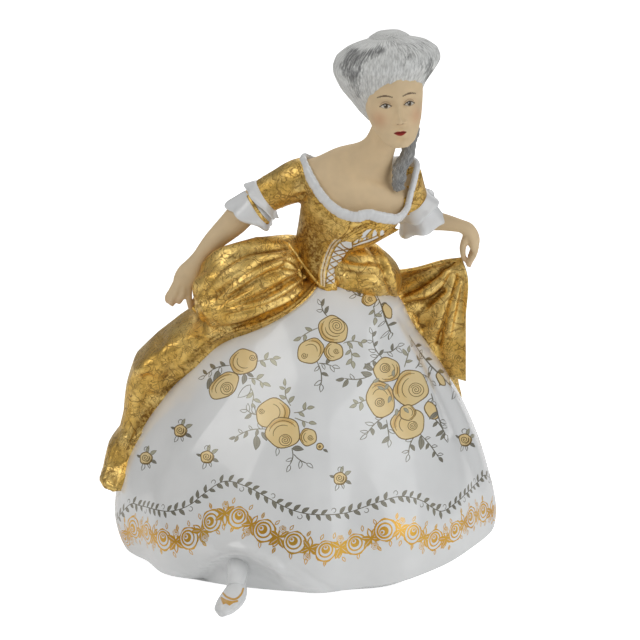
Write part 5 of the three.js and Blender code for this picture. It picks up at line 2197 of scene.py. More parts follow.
def laid_on(pieces: list[bpy.types.Object], places: Array) -> Array:
    """Points on the front of finished pieces where places of the picture fall on them.

    Args:
        pieces: The finished pieces.
        places: Places in the picture.

    Returns:
        A point for each place; one that misses takes the depth of the point before.
    """
    points, faces = [], []
    for piece in pieces:
        faces += [[len(points) + v for v in polygon.vertices] for polygon in piece.data.polygons]
        points += [v.co / METRES for v in piece.data.vertices]
    tree = BVHTree.FromPolygons(points, faces)
    result = np.empty((len(places), 3))
    depth = -20.0
    for k, (x, w) in enumerate(places):
        across = np.array([x, 0.0, 0.0]) + SEEN_UP * w
        hit = tree.ray_cast(Vector(across - SEEN_IN * 300), Vector(SEEN_IN))[0]
        depth = float(np.dot(hit, SEEN_IN)) if hit is not None else depth
        result[k] = across + SEEN_IN * depth
    return result


@dataclass
class Stomacher:
    """The laced front of the bodice, a thin panel laid on it and painted in white, gold and brown."""

    finishes: Finishes
    left_edge: Stations = (
        (5.1, 100.4), (4.9, 106.7), (5.9, 111.9), (7.5, 116.2), (9.9, 120.2), (12.6, 124.1),
        (15.0, 127.7), (17.8, 131.6),
    )
    right_edge: Stations = (
        (12.5, 100.4), (13.6, 106.7), (15.4, 111.3), (17.4, 114.2), (20.2, 116.6), (24.9, 118.4),
        (31.2, 121.5), (37.2, 124.9),
    )
    white_fields: tuple[Stations, ...] = (
        (
            (8.1, 103.6), (8.7, 108.3), (9.7, 112.3), (10.7, 115.4), (12.3, 118.2), (13.8, 119.8),
            (16.2, 120.2), (18.6, 119.8), (18.8, 117.4), (17.4, 116.6), (15.8, 114.6), (14.2, 111.9),
            (12.6, 107.5), (11.5, 103.6),
        ),
        (
            (16.6, 115.8), (19.0, 117.8), (22.5, 119.0), (26.1, 120.2), (28.9, 121.5), (28.5, 122.5),
            (25.7, 121.3), (22.1, 120.1), (19.0, 118.9), (17.0, 117.0),
        ),
        (
            (22.1, 121.9), (22.9, 123.5), (24.5, 124.7), (26.1, 125.1), (25.7, 123.7), (24.1, 122.1),
            (22.5, 121.5),
        ),
        ((26.5, 121.7), (26.7, 123.7), (27.5, 124.9), (28.3, 123.7), (28.1, 122.1), (27.1, 121.5)),
        ((29.6, 122.5), (29.6, 124.1), (30.4, 124.7), (31.4, 123.9), (30.8, 122.7)),
        ((19.0, 119.6), (20.6, 120.9), (22.1, 121.3), (21.7, 120.4), (20.2, 119.6)),
        ((22.7, 120.6), (23.3, 121.5), (24.9, 121.9), (24.9, 121.1)),
    )
    brown_lines: tuple[Stations, ...] = (
        (
            (7.1, 102.8), (7.1, 108.3), (8.3, 113.0), (9.5, 116.2), (10.7, 118.6), (12.6, 120.6),
            (15.0, 122.5), (17.0, 124.9), (17.8, 127.7),
        ),
        (
            (8.1, 102.8), (8.7, 108.3), (9.7, 112.3), (10.7, 115.4), (12.3, 118.2), (13.8, 119.8),
            (15.8, 120.4),
        ),
        (
            (11.5, 102.8), (12.6, 107.5), (14.2, 111.9), (15.8, 114.6), (17.4, 116.8), (19.4, 118.0),
            (22.5, 119.0), (26.1, 120.2), (28.9, 121.5), (31.2, 122.7),
        ),
        ((18.6, 119.6), (19.0, 118.9), (22.1, 120.1), (25.7, 121.3), (28.5, 122.5)),
        ((14.2, 120.4), (17.8, 122.5), (20.9, 124.4), (24.9, 126.2), (28.9, 127.1)),
        ((14.2, 121.3), (17.8, 123.7), (20.9, 125.6), (24.5, 127.3)),
        ((18.6, 119.4), (18.6, 117.2), (15.8, 117.8), (13.8, 119.8)),
        ((18.6, 119.8), (20.6, 121.3), (22.5, 122.5)),
        ((20.9, 119.8), (21.5, 121.3)),
        ((24.1, 120.8), (24.7, 122.3)),
        ((26.1, 121.3), (26.3, 122.9)),
        ((20.2, 122.9), (22.1, 123.5), (24.1, 124.9)),
        ((19.0, 124.9), (20.6, 126.1)),
        ((20.6, 125.3), (22.1, 126.5)),
        ((24.1, 122.3), (26.5, 124.7), (29.2, 125.9)),
        ((28.5, 122.5), (29.2, 124.9)),
        ((31.2, 123.7), (32.8, 125.1), (35.2, 125.9)),
    )
    laced_left: Stations = (
        (8.1, 103.6), (8.5, 105.9), (8.9, 108.7), (9.5, 111.5), (10.3, 114.0), (11.1, 116.2),
        (12.6, 118.4),
    )
    laced_right: Stations = (
        (11.5, 103.6), (12.1, 105.9), (13.0, 108.7), (14.0, 111.3), (15.2, 113.6), (16.6, 115.8),
        (18.6, 117.4),
    )
    line: float = 0.42
    proud: float = 0.16
    thickness: float = 0.9
    rows: int = 270
    columns: int = 124
    back_step: int = 9

    def build(self, bodice: bpy.types.Object) -> bpy.types.Object:
        """Lays the panel on the bodice and paints it.

        Args:
            bodice: The finished bodice.

        Returns:
            The piece.
        """
        rows, columns = self.rows, self.columns
        along = np.linspace(0, 1, rows)
        left = smooth_path(self.left_edge, along)
        right = smooth_path(self.right_edge, along)
        across = np.linspace(0, 1, columns)[None, :, None]
        places = (left[:, None] * (1 - across) + right[:, None] * across).reshape(-1, 2)
        base = laid_on([bodice], places).reshape(rows, columns, 3)
        from_end, from_side = np.minimum(along, 1 - along)[:, None], np.minimum(across, 1 - across)[..., 0]
        from_edge = np.minimum(from_end * 45, from_side * 18)
        lift = self.proud * smoothstep(from_edge, 0.3, 1.0) - 0.5 * (1 - smoothstep(from_edge, 0.0, 0.6))
        front = base - SEEN_IN * lift[..., None]
        back = base + SEEN_IN * self.thickness
        white = np.zeros(len(places))
        for field_line in self.white_fields:
            white[inside_outline(places, field_line)] = 1.0
        between = distance_to_path(places, smooth_path(self.brown_lines[0], np.linspace(0, 1, 80)))
        white = np.maximum(white, 0.45 * (between < 0.9) * (places[:, 1] < 121))
        brown = np.zeros(len(places))
        paths = [smooth_path(path, np.linspace(0, 1, 60)) for path in self.brown_lines]
        pairs = list(zip(self.laced_left, self.laced_right))
        for (a, b), (c, d) in zip(pairs[:-1], pairs[1:]):
            paths += [np.array([a, d]), np.array([b, c])]
        for path in paths:
            away = distance_to_path(places, path) / self.line
            brown = np.maximum(brown, 1 - smoothstep(away, 0.3, 0.75))
        white = white * (1 - brown)
        colours = np.stack([white, 0.85 * brown, np.zeros(len(places))], axis=1)
        back = back[:, :: -self.back_step]
        rings = np.concatenate([front, back], axis=1)
        colours = np.concatenate([colours.reshape(rows, columns, 3), np.zeros_like(back)], axis=1)
        form = loft(rings)
        ends = np.zeros((len(form.points) - colours.shape[0] * colours.shape[1], 3))
        paint = np.vstack([colours.reshape(-1, 3), ends])
        return self.finishes.gilt("laced_stomacher", form, paint)


@dataclass
class Frills:
    """The frill round the neckline and the ruffles that end the sleeves."""

    finishes: Finishes
    neckline: Stations
    half_width: float = 2.5
    half_depth: float = 1.5
    ripples: tuple[tuple[float, float, float, float], ...] = (
        (47, 0.024, 0.4, 1.9), (71, 0.018, 2.0, -1.3), (29, 0.026, 1.1, 1.0), (13, 0.03, 0.2, 0.6),
    )
    cuffs: tuple[tuple[Stations, float], ...] = (
        (((-15, -4.6, 145.8), (-17.2, -4.3, 142.3), (-0.84, 0, -0.54), (-0.71, 0, -0.7)), 9.3),
        (((-17, -4.2, 142.7), (-22.4, -3.8, 136.4), (-0.71, 0, -0.7), (-0.47, 0, -0.88)), 9.9),
        (((41.5, 1.2, 142.6), (44.6, 3.6, 137.5), (0.48, 0.37, -0.79), (0.48, 0.37, -0.79)), 9.0),
        (((44, 3.4, 138.4), (47, 3.5, 130), (0.34, 0.01, -0.94), (0.34, 0.01, -0.94)), 9.6),
    )
    cuff_profile: Stations = (
        (0, 0.62), (0.15, 0.76), (0.6, 0.91), (0.88, 1), (1.0, 0.985), (1.04, 0.93), (0.98, 0.86),
        (0.86, 0.76), (0.8, 0.6),
    )

    def build_neck_frill(self) -> bpy.types.Object:
        """Makes the soft rippled band round the neckline.

        Returns:
            The piece.
        """
        steps, sides = 520, 30
        along = np.arange(steps) / steps
        middle = smooth_path(self.neckline, along, closed=True)
        heading = unit(np.roll(middle, -1, axis=0) - np.roll(middle, 1, axis=0))
        out = middle - np.array([22.0, -9.0, 152.0])
        out = unit(out - (out * heading).sum(axis=1, keepdims=True) * heading)
        down = np.cross(heading, out)
        angle = FULL_TURN * np.arange(sides) / sides
        across, turn = np.cos(angle)[None, :], FULL_TURN * along[:, None]
        ripple = sum(
            deep * np.cos(count * turn + start + lean * across + 0.8 * np.sin(7 * turn))
            for count, deep, start, lean in self.ripples
        )
        flat = np.sign(np.sin(angle)) * np.abs(np.sin(angle)) ** 0.75
        wide = self.half_width * across * (1 + 0.9 * ripple * np.abs(across))
        deep = self.half_depth * flat * (0.86 + 1.6 * ripple * (0.35 + 0.65 * across**2))
        rings = middle[:, None] + down[:, None] * wide[..., None] + out[:, None] * deep[..., None]
        faces = grid_faces(steps + 1, sides, wrap=True) % (steps * sides)
        form = Form(rings.reshape(-1, 3), faces).facing_out()
        shade = np.clip(0.94 + 0.6 * ripple, 0.8, 1.0) * np.ones((1, sides))
        return self.finishes.white("neckline_frill", form, np.repeat(shade.reshape(-1, 1), 3, axis=1))

    def build_cuff(self, which: int) -> bpy.types.Object:
        """Makes one ruffle, in a few big soft folds at its wide end.

        Args:
            which: Its number in `cuffs`.

        Returns:
            The piece.
        """
        (start, end, start_facing, end_facing), radius = self.cuffs[which]
        start, end = np.array(start), np.array(end)
        sides, steps = 150, 76
        section = smooth_path(self.cuff_profile, np.linspace(0, 1, steps + 1))
        along, share = section[:, :1], section[:, 1:]
        axis = unit((1 - along) * np.array(start_facing) + along * np.array(end_facing))
        wide = unit(np.array([0, 1, 0]) - axis * axis[:, 1:2])[:, None]
        deep = np.cross(axis, wide[:, 0])[:, None]
        angle = FULL_TURN * np.arange(sides)[None] / sides
        open_share = np.clip(along, 0, 1) ** 1.5
        wave = 1 + 0.075 * along * np.cos(5 * angle + which)
        fold = 0.022 * np.cos(8 * angle + 2.0 * which) + 0.006 * np.cos(13 * angle + which)
        size = radius * share * (wave + open_share * fold)
        shift = along + 0.05 * along * np.cos(5 * angle + which + 1.2)
        rings = (
            start
            + (end - start) * shift[..., None]
            + wide * (size * np.cos(angle))[..., None]
            + deep * (size * np.sin(angle))[..., None]
        )
        # Painted shade: the white darkens in the hollows of the folds towards the wide end.
        white = np.clip(1 + 1.3 * open_share * (fold - 0.03), 0.85, 1.0) * np.ones((steps + 1, sides))
        paint = np.repeat(np.append(white.ravel(), [1, 1])[:, None], 3, axis=1)
        return self.finishes.white(f"sleeve_ruffle_{which + 1}", loft(rings), paint)

    def build(self) -> list[bpy.types.Object]:
        """Makes the neck frill and the four ruffles, and gives the ruffles."""
        self.build_neck_frill()
        return [self.build_cuff(which) for which in range(len(self.cuffs))]


class CordTree:
    """Geometry nodes that turn a path of edges into a cord, with beads strung on it."""

    def __init__(self) -> None:
        """Builds the tree."""
        tree = bpy.data.node_groups.new("cord with beads", "GeometryNodeTree")
        self.tree = tree
        add = tree.interface.new_socket
        add("Path", in_out="INPUT", socket_type="NodeSocketGeometry")
        for name, value in (("Cord Radius", 0.35), ("Bead Radius", 0.0), ("Bead Gap", 1.6), ("Step", 0.4)):
            add(name, in_out="INPUT", socket_type="NodeSocketFloat").default_value = value * METRES
        add("Finish", in_out="INPUT", socket_type="NodeSocketMaterial")
        add("Cord", in_out="OUTPUT", socket_type="NodeSocketGeometry")
        nodes = Nodes(tree)
        put_in = nodes.add("NodeGroupInput").outputs
        curve = nodes.add("GeometryNodeMeshToCurve", inputs={0: put_in["Path"]}).outputs[0]
        even, spots = (
            nodes.add("GeometryNodeResampleCurve", mode="LENGTH", inputs={"Curve": curve, "Length": gap})
            for gap in (put_in["Step"], put_in["Bead Gap"])
        )
        round_line = nodes.add(
            "GeometryNodeCurvePrimitiveCircle", inputs={"Resolution": 10, "Radius": put_in["Cord Radius"]}
        )
        swept = nodes.add(
            "GeometryNodeCurveToMesh",
            inputs={"Curve": even.outputs[0], "Profile Curve": round_line.outputs[0], "Fill Caps": True},
        )
        bead = nodes.add(
            "GeometryNodeMeshIcoSphere", inputs={"Radius": put_in["Bead Radius"], "Subdivisions": 2}
        )
        strung = nodes.add(
            "GeometryNodeInstanceOnPoints", inputs={"Points": spots.outputs[0], "Instance": bead.outputs[0]}
        )
        both = nodes.add("GeometryNodeJoinGeometry")
        for part in (swept.outputs[0], strung.outputs[0]):
            tree.links.new(part, both.inputs[0])
        smooth = nodes.add("GeometryNodeSetShadeSmooth", inputs={"Geometry": both.outputs[0]})
        plain = nodes.add("GeometryNodeRealizeInstances", inputs={0: smooth.outputs[0]})
        dressed = nodes.add(
            "GeometryNodeSetMaterial", inputs={"Geometry": plain.outputs[0], "Material": put_in["Finish"]}
        )
        out = nodes.add("NodeGroupOutput")
        tree.links.new(dressed.outputs[0], out.inputs[0])

    def make(
        self, name: str, path: Array, closed: bool, finish: bpy.types.Material, sizes: dict[str, float]
    ) -> Form:
        """Runs the tree over one path.

        Args:
            name: The cord's name.
            path: Its points in millimetres.
            closed: Whether its ends meet.
            finish: Its material.
            sizes: The tree's inputs by name, in millimetres.

        Returns:
            The cord as a plain form in millimetres.
        """
        count = len(path)
        edges = [(k, (k + 1) % count) for k in range(count if closed else count - 1)]
        mesh = bpy.data.meshes.new(name)
        mesh.from_pydata((path * METRES).tolist(), edges, [])
        source = new_object(name, mesh)
        modifier = source.modifiers.new("cord", "NODES")
        modifier.node_group = self.tree
        for item in self.tree.interface.items_tree:
            if item.name in sizes:
                modifier[item.identifier] = sizes[item.name] * METRES
            if item.name == "Finish":
                modifier[item.identifier] = finish
        evaluated = source.evaluated_get(bpy.context.evaluated_depsgraph_get())
        made = bpy.data.meshes.new_from_object(evaluated)
        source.modifiers.clear()
        bpy.data.objects.remove(source)
        points = np.empty(len(made.vertices) * 3)
        made.vertices.foreach_get("co", points)
        quads = np.array([p.vertices[:] for p in made.polygons if len(p.vertices) == 4]).reshape(-1, 4)
        corners = [p.vertices[:] for p in made.polygons if len(p.vertices) != 4]
        fans = [(c[0], c[k], c[k + 1]) for c in corners for k in range(1, len(c) - 1)]
        triangles = np.array(fans).reshape(-1, 3).astype(int)
        return Form(points.reshape(-1, 3) / METRES, quads.astype(int), triangles)


@dataclass
class Cords:
    """The raised gilt cords, with painted shade in their hollows: round the sleeve ends, between the
    ruffles and down the seams.
    """

    finishes: Finishes
    rings: tuple[tuple[str, Place, Place, float, float], ...] = (
        ("left_sleeve_cord", (-14.6, -4.6, 145.6), (-0.84, 0, -0.54), 6.75, 0.36),
        ("left_sleeve_inner_cord", (-12.6, -5.1, 146.8), (-0.84, 0, -0.54), 7.15, 0.3),
        ("right_sleeve_cord", (42.4, 2.4, 139.4), (0.3, 0.2, -0.93), 6.9, 0.4),
    )
    seams: tuple[tuple[str, Stations, float, float], ...] = (
        ("hip_seam_cord", (
            (-6.3, 119.4), (-4.3, 116.4), (-2.0, 113.0), (0.8, 109.1), (3.6, 105.5), (6.7, 102.4),
            (9.9, 100.6),
        ), 0.6, 0.7),
        ("left_ruffle_band", (
            (-22.3, 138.3), (-20.8, 135.6), (-19.0, 132.6), (-17.0, 129.8), (-14.6, 127.5),
        ), 0.75, 0.0),
        ("stomacher_cord", (
            (14.6, 120.8), (17.8, 123.1), (20.9, 125.0), (24.1, 126.5), (26.5, 127.2),
        ), 0.42, 0.0),
    )
    no_bead: float = 0.01

    def build(self, under: list[bpy.types.Object]) -> None:
        """Makes every cord.

        Args:
            under: The pieces that the seams are laid on.
        """
        tree = CordTree()
        turn = FULL_TURN * np.arange(96) / 96
        for name, middle, facing, radius, thick in self.rings:
            axis = unit(np.array(facing))
            wide = unit(np.array([0, 1, 0]) - axis * axis[1])
            deep = np.cross(axis, wide)
            wobble = radius * (1 + 0.012 * np.cos(5 * turn) + 0.008 * np.cos(11 * turn + 1))
            path = np.outer(wobble * np.cos(turn), wide) + np.outer(wobble * np.sin(turn), deep)
            sizes = {"Cord Radius": thick, "Bead Radius": self.no_bead}
            cord = tree.make(name, np.array(middle) + path, True, self.finishes.gilding, sizes)
            self.finishes.gilt(name, cord)
        for name, stations, thick, bead in self.seams:
            path = laid_on(under, smooth_path(stations, np.linspace(0, 1, 60)))
            path[:, 1] = np.convolve(np.pad(path[:, 1], 4, mode="edge"), np.ones(9) / 9, mode="valid")
            sizes = {"Cord Radius": thick, "Bead Radius": max(bead, self.no_bead), "Bead Gap": 1.5}
            self.finishes.gilt(name, tree.make(name, path, False, self.finishes.gilding, sizes))


@dataclass
class Head:
    """The head with its painted face, the brushed hair over it and the ringlet."""

    finishes: Finishes
    centre: Place = (34.6, -19.5, 188.0)
    tilt: float = 4.0
    turn: float = 9.0
    lift: float = 5.0
    skull: Stations = (
        (-17, 3.4, 0, 9, 2.2), (-15, 6.2, 0, 7, 5), (-11.5, 8.4, 0, 4.3, 8), (-6.5, 10.3, 0, 1.6, 11),
        (-1, 11.4, 0, 0.3, 12.4), (5, 12, 0, -0.4, 13.4), (11, 11, 0, -0.8, 13), (15, 8, 0, -1, 10),
        (17, 3, 0, -1, 4),
    )
    hair: Stations = (
        (-8, 8.6, -1, -7.5, 6.5), (-4, 11.6, -1.2, -6.8, 10.8), (1, 14, -2, -6.5, 13.5),
        (5.5, 16.6, -2.4, -6, 16), (10, 19.3, -1.7, -5.1, 17.9), (14.5, 21.1, -0.9, -3.8, 18.7),
        (18.5, 20, -0.2, -4.4, 17.4), (21.8, 15.5, 0.3, -5.4, 13.5), (24, 8, 0.5, -6, 7),
    )
    topknot: Stations = ((20, 8.5, 1.6, -9, 8.5), (23.8, 8, 1.6, -9, 8), (25.8, 5, 1.6, -9, 5))
    ringlet: Stations = (
        (42, -10.8, 180, 1.5), (42.4, -11, 175, 2.3), (41.6, -12, 170.2, 2.7), (39.8, -14, 164.2, 2.7),
        (37.4, -15.8, 158.4, 2.8), (36.6, -17.6, 154.2, 2.6), (37.8, -18.6, 151.2, 1.8),
    )
    # On the usual proportions, as in the solid: eyes halfway up, brow, nose and chin a third apart.
    brow: float = 3.4
    nose_base: float = -7.3
    mouth: float = -10.8
    eye_apart: float = 4.7
    eye_half: float = 2.1
    # Soft rises and hollows on both sides of the face: [across, up, half width, half height, rise].
    rises: Stations = (
        (4.7, 0.7, 3.0, 1.9, -1.5),
        (2.3, 0.3, 1.1, 1.4, -0.6),
        (4.7, -0.1, 2.0, 1.3, 1.05),
        (4.8, 3.3, 3.4, 1.3, 0.4),
        (6.4, -3.8, 3.0, 3.0, 0.8),
        (1.75, -6.4, 0.85, 0.8, 0.9),
        (2.4, -8.6, 1.0, 1.6, -0.25),
    )
    # The same on the middle line.
    middle_rises: Stations = (
        (0.0, -9.95, 2.3, 0.6, 0.75),
        (0.0, -11.75, 1.7, 0.65, 0.85),
        (0.0, -13.2, 2.4, 0.8, -0.5),
        (0.0, -15.3, 2.7, 1.8, 0.8),
        (0.0, 7.5, 6.0, 4.0, 0.3),
    )
    nose_profile: Stations = (
        (-8.2, 0.0), (-7.5, 0.5), (-6.7, 2.6), (-5.7, 3.0), (-3.0, 1.9), (0.0, 1.0), (2.8, 0.1),
    )
    nose_width: Stations = ((-7.5, 1.9), (-6.0, 1.55), (-3.0, 1.1), (2.0, 1.25))
    dark_brushwork: tuple[Fold, ...] = (
        Fold(1.0, 3.0, ((20.0, 186.0), (17.5, 190.5), (19.0, 194.0))),
        Fold(1.0, 2.4, ((18.5, 189.5), (23.5, 192.0), (29.0, 195.0))),
        Fold(0.7, 2.6, ((21.0, 178.0), (17.5, 183.5), (16.0, 188.0))),
        Fold(0.6, 3.5, ((34.0, 198.5), (41.0, 196.5), (46.0, 197.0))),
        Fold(0.5, 3.0, ((40.0, 191.0), (46.0, 189.0), (50.0, 186.0))),
        Fold(0.7, 1.2, ((49.5, 191.0), (48.4, 186.5), (47.8, 183.0))),
    )

    def frame(self) -> tuple[Array, Array]:
        """The head's turn and place."""
        angles = (math.radians(-self.lift), math.radians(-self.tilt), math.radians(self.turn))
        return np.array(Euler(angles, "XYZ").to_matrix()), np.array(self.centre)

    def on_head(self, points: Array) -> Array:
        """Points of the head's own frame, put where the head is."""
        turn, centre = self.frame()
        return points @ turn.T + centre

    def stacked(self, levels: Stations, angle: Array, steps: int) -> Array:
        """Rings stacked up the head.

        Args:
            levels: [height, half width, middle x, middle forward, half depth] each.
            angle: The rings' angles; a quarter turn is the back.
            steps: Rings, less one.

        Returns:
            [ring, angle, xyz] in the head's frame.
        """
        table = np.array(levels, float)
        along = np.linspace(0, 1, steps + 1)
        middle = smooth_path(np.stack([table[:, 2], -table[:, 3], table[:, 0]], axis=1), along)
        half = np.maximum(smooth_path(table[:, [1, 4]], along), 0.5)
        return np.stack(
            [
                middle[:, :1] + half[:, :1] * np.cos(angle),
                middle[:, 1:2] + half[:, 1:] * np.sin(angle),
                middle[:, 2:] * np.ones_like(angle)[None],
            ],
            axis=-1,
        )

    def sculpted(self, x: Array, z: Array) -> Array:
        """How far the face stands out at a place of the head's frame.

        Args:
            x: Places across the face.
            z: Places up the face.

        Returns:
            One height for each place.
        """
        rise = np.zeros_like(x)
        for across, up, wide, high, height in self.rises:
            rise += height * bell(np.abs(x), across, wide) * bell(z, up, high)
        for across, up, wide, high, height in self.middle_rises:
            rise += height * bell(x, across, wide) * bell(z, up, high)
        profile, width = np.array(self.nose_profile), np.array(self.nose_width)
        ridge = np.interp(z, profile[:, 0], profile[:, 1])
        rise += ridge * bell(x, 0.0, 1.0) ** (1 / np.interp(z, width[:, 0], width[:, 1]) ** 2)
        part = (np.abs(x) - self.eye_apart) / self.eye_half
        lid = 1.05 * (1 - np.clip(part, -1.1, 1.1) ** 2)
        rise += 0.25 * bell(z - lid, 0.35, 0.3) * (np.abs(part) < 1.1)
        rise -= 0.4 * bell(z, self.mouth, 0.2) * smoothstep(-np.abs(x), -2.6, -1.8)
        return rise

    def face_paint(self, x: Array, z: Array, front: Array) -> Array:
        """The colours painted on the head, with painted shade above the eyes and under the nose and a
        painted glint in each eye.

        Args:
            x: Places across the face.
            z: Places up the face.
            front: 1 on the front of the head, 0 elsewhere.

        Returns:
            A colour for each place.
        """
        colour = np.tile(FLESH, (len(x), 1))

        def lay(new: Colour, share: Array) -> None:
            """Lays a colour over the paint, by a share at each place."""
            share = np.clip(share * front, 0, 1)[:, None]
            colour[:] = colour * (1 - share) + np.array(new) * share

        side = np.abs(x)
        lay(BLUSH, 0.55 * bell(side, 7.4, 2.8) * bell(z, -5.2, 3.2))
        # Painted shade in the hollow above each eye.
        lay((0.55, 0.36, 0.22), 0.35 * bell(side, 4.7, 2.8) * bell(z, 1.6, 1.0))
        # A painted shadow under the nose.
        lay((0.50, 0.30, 0.18), 0.4 * bell(x, 0, 1.6) * bell(z, self.nose_base - 0.2, 0.45))
        part = (side - self.eye_apart) / self.eye_half
        upper = 1.0 * (1 - np.clip(part, -1, 1) ** 2)
        lower = -0.62 * (1 - np.clip(part, -1, 1) ** 2)
        opening = (np.abs(part) < 1) & (z < upper) & (z > lower)
        lay((0.72, 0.68, 0.60), opening * 1.0)
        iris = np.hypot(side - self.eye_apart, z - 0.22)
        lay((0.13, 0.10, 0.06), opening * smoothstep(-iris, -0.92, -0.78))
        lay((0.02, 0.015, 0.01), opening * smoothstep(-iris, -0.5, -0.38))
        glint = np.hypot(x - np.sign(x) * self.eye_apart + 0.25, z - 0.55)
        lay((0.9, 0.9, 0.88), opening * smoothstep(-glint, -0.25, -0.12))
        lash = smoothstep(-np.abs(z - upper), -0.34, -0.14) * (np.abs(part) < 1.12)
        lay((0.035, 0.02, 0.012), lash)
        lay((0.22, 0.12, 0.06), 0.55 * smoothstep(-np.abs(z - lower), -0.22, -0.08) * (np.abs(part) < 1.0))
        crease = 1.75 * (1 - np.clip(part * 0.85, -1, 1) ** 2) + 0.15
        lay((0.22, 0.12, 0.06), 0.6 * smoothstep(-np.abs(z - crease), -0.26, -0.08) * (np.abs(part) < 0.95))
        arch = (side - 1.9) / 5.9
        height = self.brow + 0.25 + 0.75 * np.sin(np.clip(arch, 0, 1) * math.pi)
        thick = 0.16 * np.sin(np.clip(arch, 0.08, 1) * math.pi) ** 0.6 + 0.10
        brow = smoothstep(-np.abs(z - height), -thick - 0.1, -thick) * (arch > 0) * (arch < 1)
        lay((0.10, 0.06, 0.035), 0.9 * brow)
        lay((0.16, 0.06, 0.03), bell(side, 0.95, 0.35) * bell(z, self.nose_base + 0.25, 0.22))
        mouth_part = np.clip(x / 2.7, -1, 1)
        bow = 0.95 * (1 - mouth_part**2) * (1 - 0.28 * bell(x, 0, 0.55))
        under = -1.15 * (1 - mouth_part**2)
        off = z - self.mouth
        lips = smoothstep(bow - off, 0, 0.14) * smoothstep(off - under, 0, 0.14) * (np.abs(x) < 2.7)
        lay((0.36, 0.035, 0.025), lips)
        lay((0.10, 0.012, 0.01), lips * bell(off, 0.0, 0.16))
        return colour

    def build_face(self) -> bpy.types.Object:
        """Makes the head.

        Returns:
            The piece.
        """
        front = np.linspace(math.pi, FULL_TURN, 221)
        back = np.linspace(0, math.pi, 34)[1:-1]
        angle = np.concatenate([front, back])
        rings = self.stacked(self.skull, angle, 196)
        local = rings.reshape(-1, 3)
        facing = np.tile(-np.sin(angle), len(rings))
        weight = smoothstep(facing, 0.05, 0.45)
        local[:, 1] -= self.sculpted(local[:, 0], local[:, 2]) * weight
        form = loft(self.on_head(local).reshape(len(rings), len(angle), 3))
        paint = self.face_paint(local[:, 0], local[:, 2], weight)
        paint = np.vstack([paint, np.tile(FLESH, (2, 1))])
        return self.finishes.flesh("head", form, paint)

    def build_hair(self, name: str, levels: Stations, sides: int, steps: int) -> bpy.types.Object:
        """Makes one mass of hair, grooved by its strands.

        Args:
            name: The piece's name.
            levels: Its rings, as `stacked` takes them.
            sides: Points round a ring.
            steps: Rings, less one.

        Returns:
            The piece.
        """
        angle = FULL_TURN * np.arange(sides) / sides
        rings = self.stacked(levels, angle, steps)
        along = np.linspace(0, 1, steps + 1)[:, None]
        locks = sum(
            depth * np.cos(count * angle + bend * along + start)
            for count, depth, bend, start in (
                (17, 0.16, 2.5, 0.4), (29, 0.12, -2.0, 2.1), (47, 0.08, 3.0, 4.0), (71, 0.06, -1.5, 0.9)
            )
        )
        middle = rings.mean(axis=1, keepdims=True)
        rings = middle + (rings - middle) * (1 + locks * np.sin(math.pi * along) ** 0.5 / 16)[..., None]
        form = loft(self.on_head(rings.reshape(-1, 3)).reshape(rings.shape))
        dark = np.clip(sum(f.relief(seen(form.points)) for f in self.dark_brushwork), 0, 1)
        return self.finishes.strands(name, form, dark, sides, steps)

    def build_ringlet(self) -> bpy.types.Object:
        """Makes the ringlet on the shoulder.

        Returns:
            The piece.
        """
        sides, steps = 48, 250
        form = limb(
            self.ringlet,
            (0, 1, 0),
            sides=sides,
            steps=steps,
            swell=lambda angle, along: 1
            + 0.16 * np.cos(angle + 22 * along)
            + 0.06 * np.cos(5 * angle + 90 * along)
            + 0.04 * np.cos(11 * angle + 60 * along),
        )
        return self.finishes.strands("ringlet", form, np.full(len(form.points), 1.05), sides, steps)

    def build(self) -> None:
        """Makes the head and its hair."""
        self.build_face()
        self.build_hair("upswept_hair", self.hair, 260, 130)
        self.build_hair("crown_of_hair", self.topknot, 130, 40)
        self.build_ringlet()


@dataclass
class Foot:
    """The shoe that steps out from under the hem, and the ankle in it."""

    finishes: Finishes
    leg: Stations = ((-25, -58, 16, 4.6), (-26, -64, 12, 4.2), (-26.6, -70, 8, 3.8), (-27.4, -75, 5, 3.4))
    shoe: Stations = (
        (-26, -68.5, 4.6, 2.6, 3), (-26.6, -73, 4, 4, 4), (-27.8, -80, 3.4, 4.9, 3.8),
        (-29.6, -87, 2.7, 5, 2.9), (-31.4, -93.5, 2.1, 4, 2.1), (-32.4, -97.4, 1.6, 1.6, 1.2),
    )
    gilt_lines: tuple[Stations, ...] = (
        ((-31.9, -17.5), (-30.5, -18.8), (-27.7, -19.7), (-26.1, -19.1), (-24.7, -17.5), (-24.1, -15.8)),
        ((-32.6, -19.2), (-30.6, -20.2), (-28.2, -20.7), (-26.4, -20.4)),
    )
    gilt_bow: Stations = (
        (-32.8, -19.8), (-31.9, -21.6), (-30.7, -21.3), (-29.4, -22.1), (-27.3, -20.8), (-29.3, -20.6),
        (-31.4, -19.6),
    )

    def build(self) -> None:
        """Makes the ankle and the shoe, with its gilt strap and bow."""
        leg = limb(self.leg, (1, 0, 0), sides=48, steps=24)
        self.finishes.white("ankle", leg, np.ones((len(leg.points), 3)))
        shoe = limb(self.shoe, (1, 0, 0), sides=160, steps=130)
        flat = shoe.points[:, 2] < 0
        shoe.points[flat, 2] = 0.0
        places = seen(shoe.points)
        lines = [smooth_path(path, np.linspace(0, 1, 50)) for path in self.gilt_lines]
        gilt = np.max([1 - smoothstep(distance_to_path(places, line), 0.32, 0.5) for line in lines], axis=0)
        gilt[inside_outline(places, self.gilt_bow)] = 1.0
        gilt = (gilt * (shoe.normals() @ SEEN_IN < 0.1))[:, None]
        paint = (1 - gilt) + gilt * np.array(GILT)
        self.finishes.white("shoe", shoe, paint)


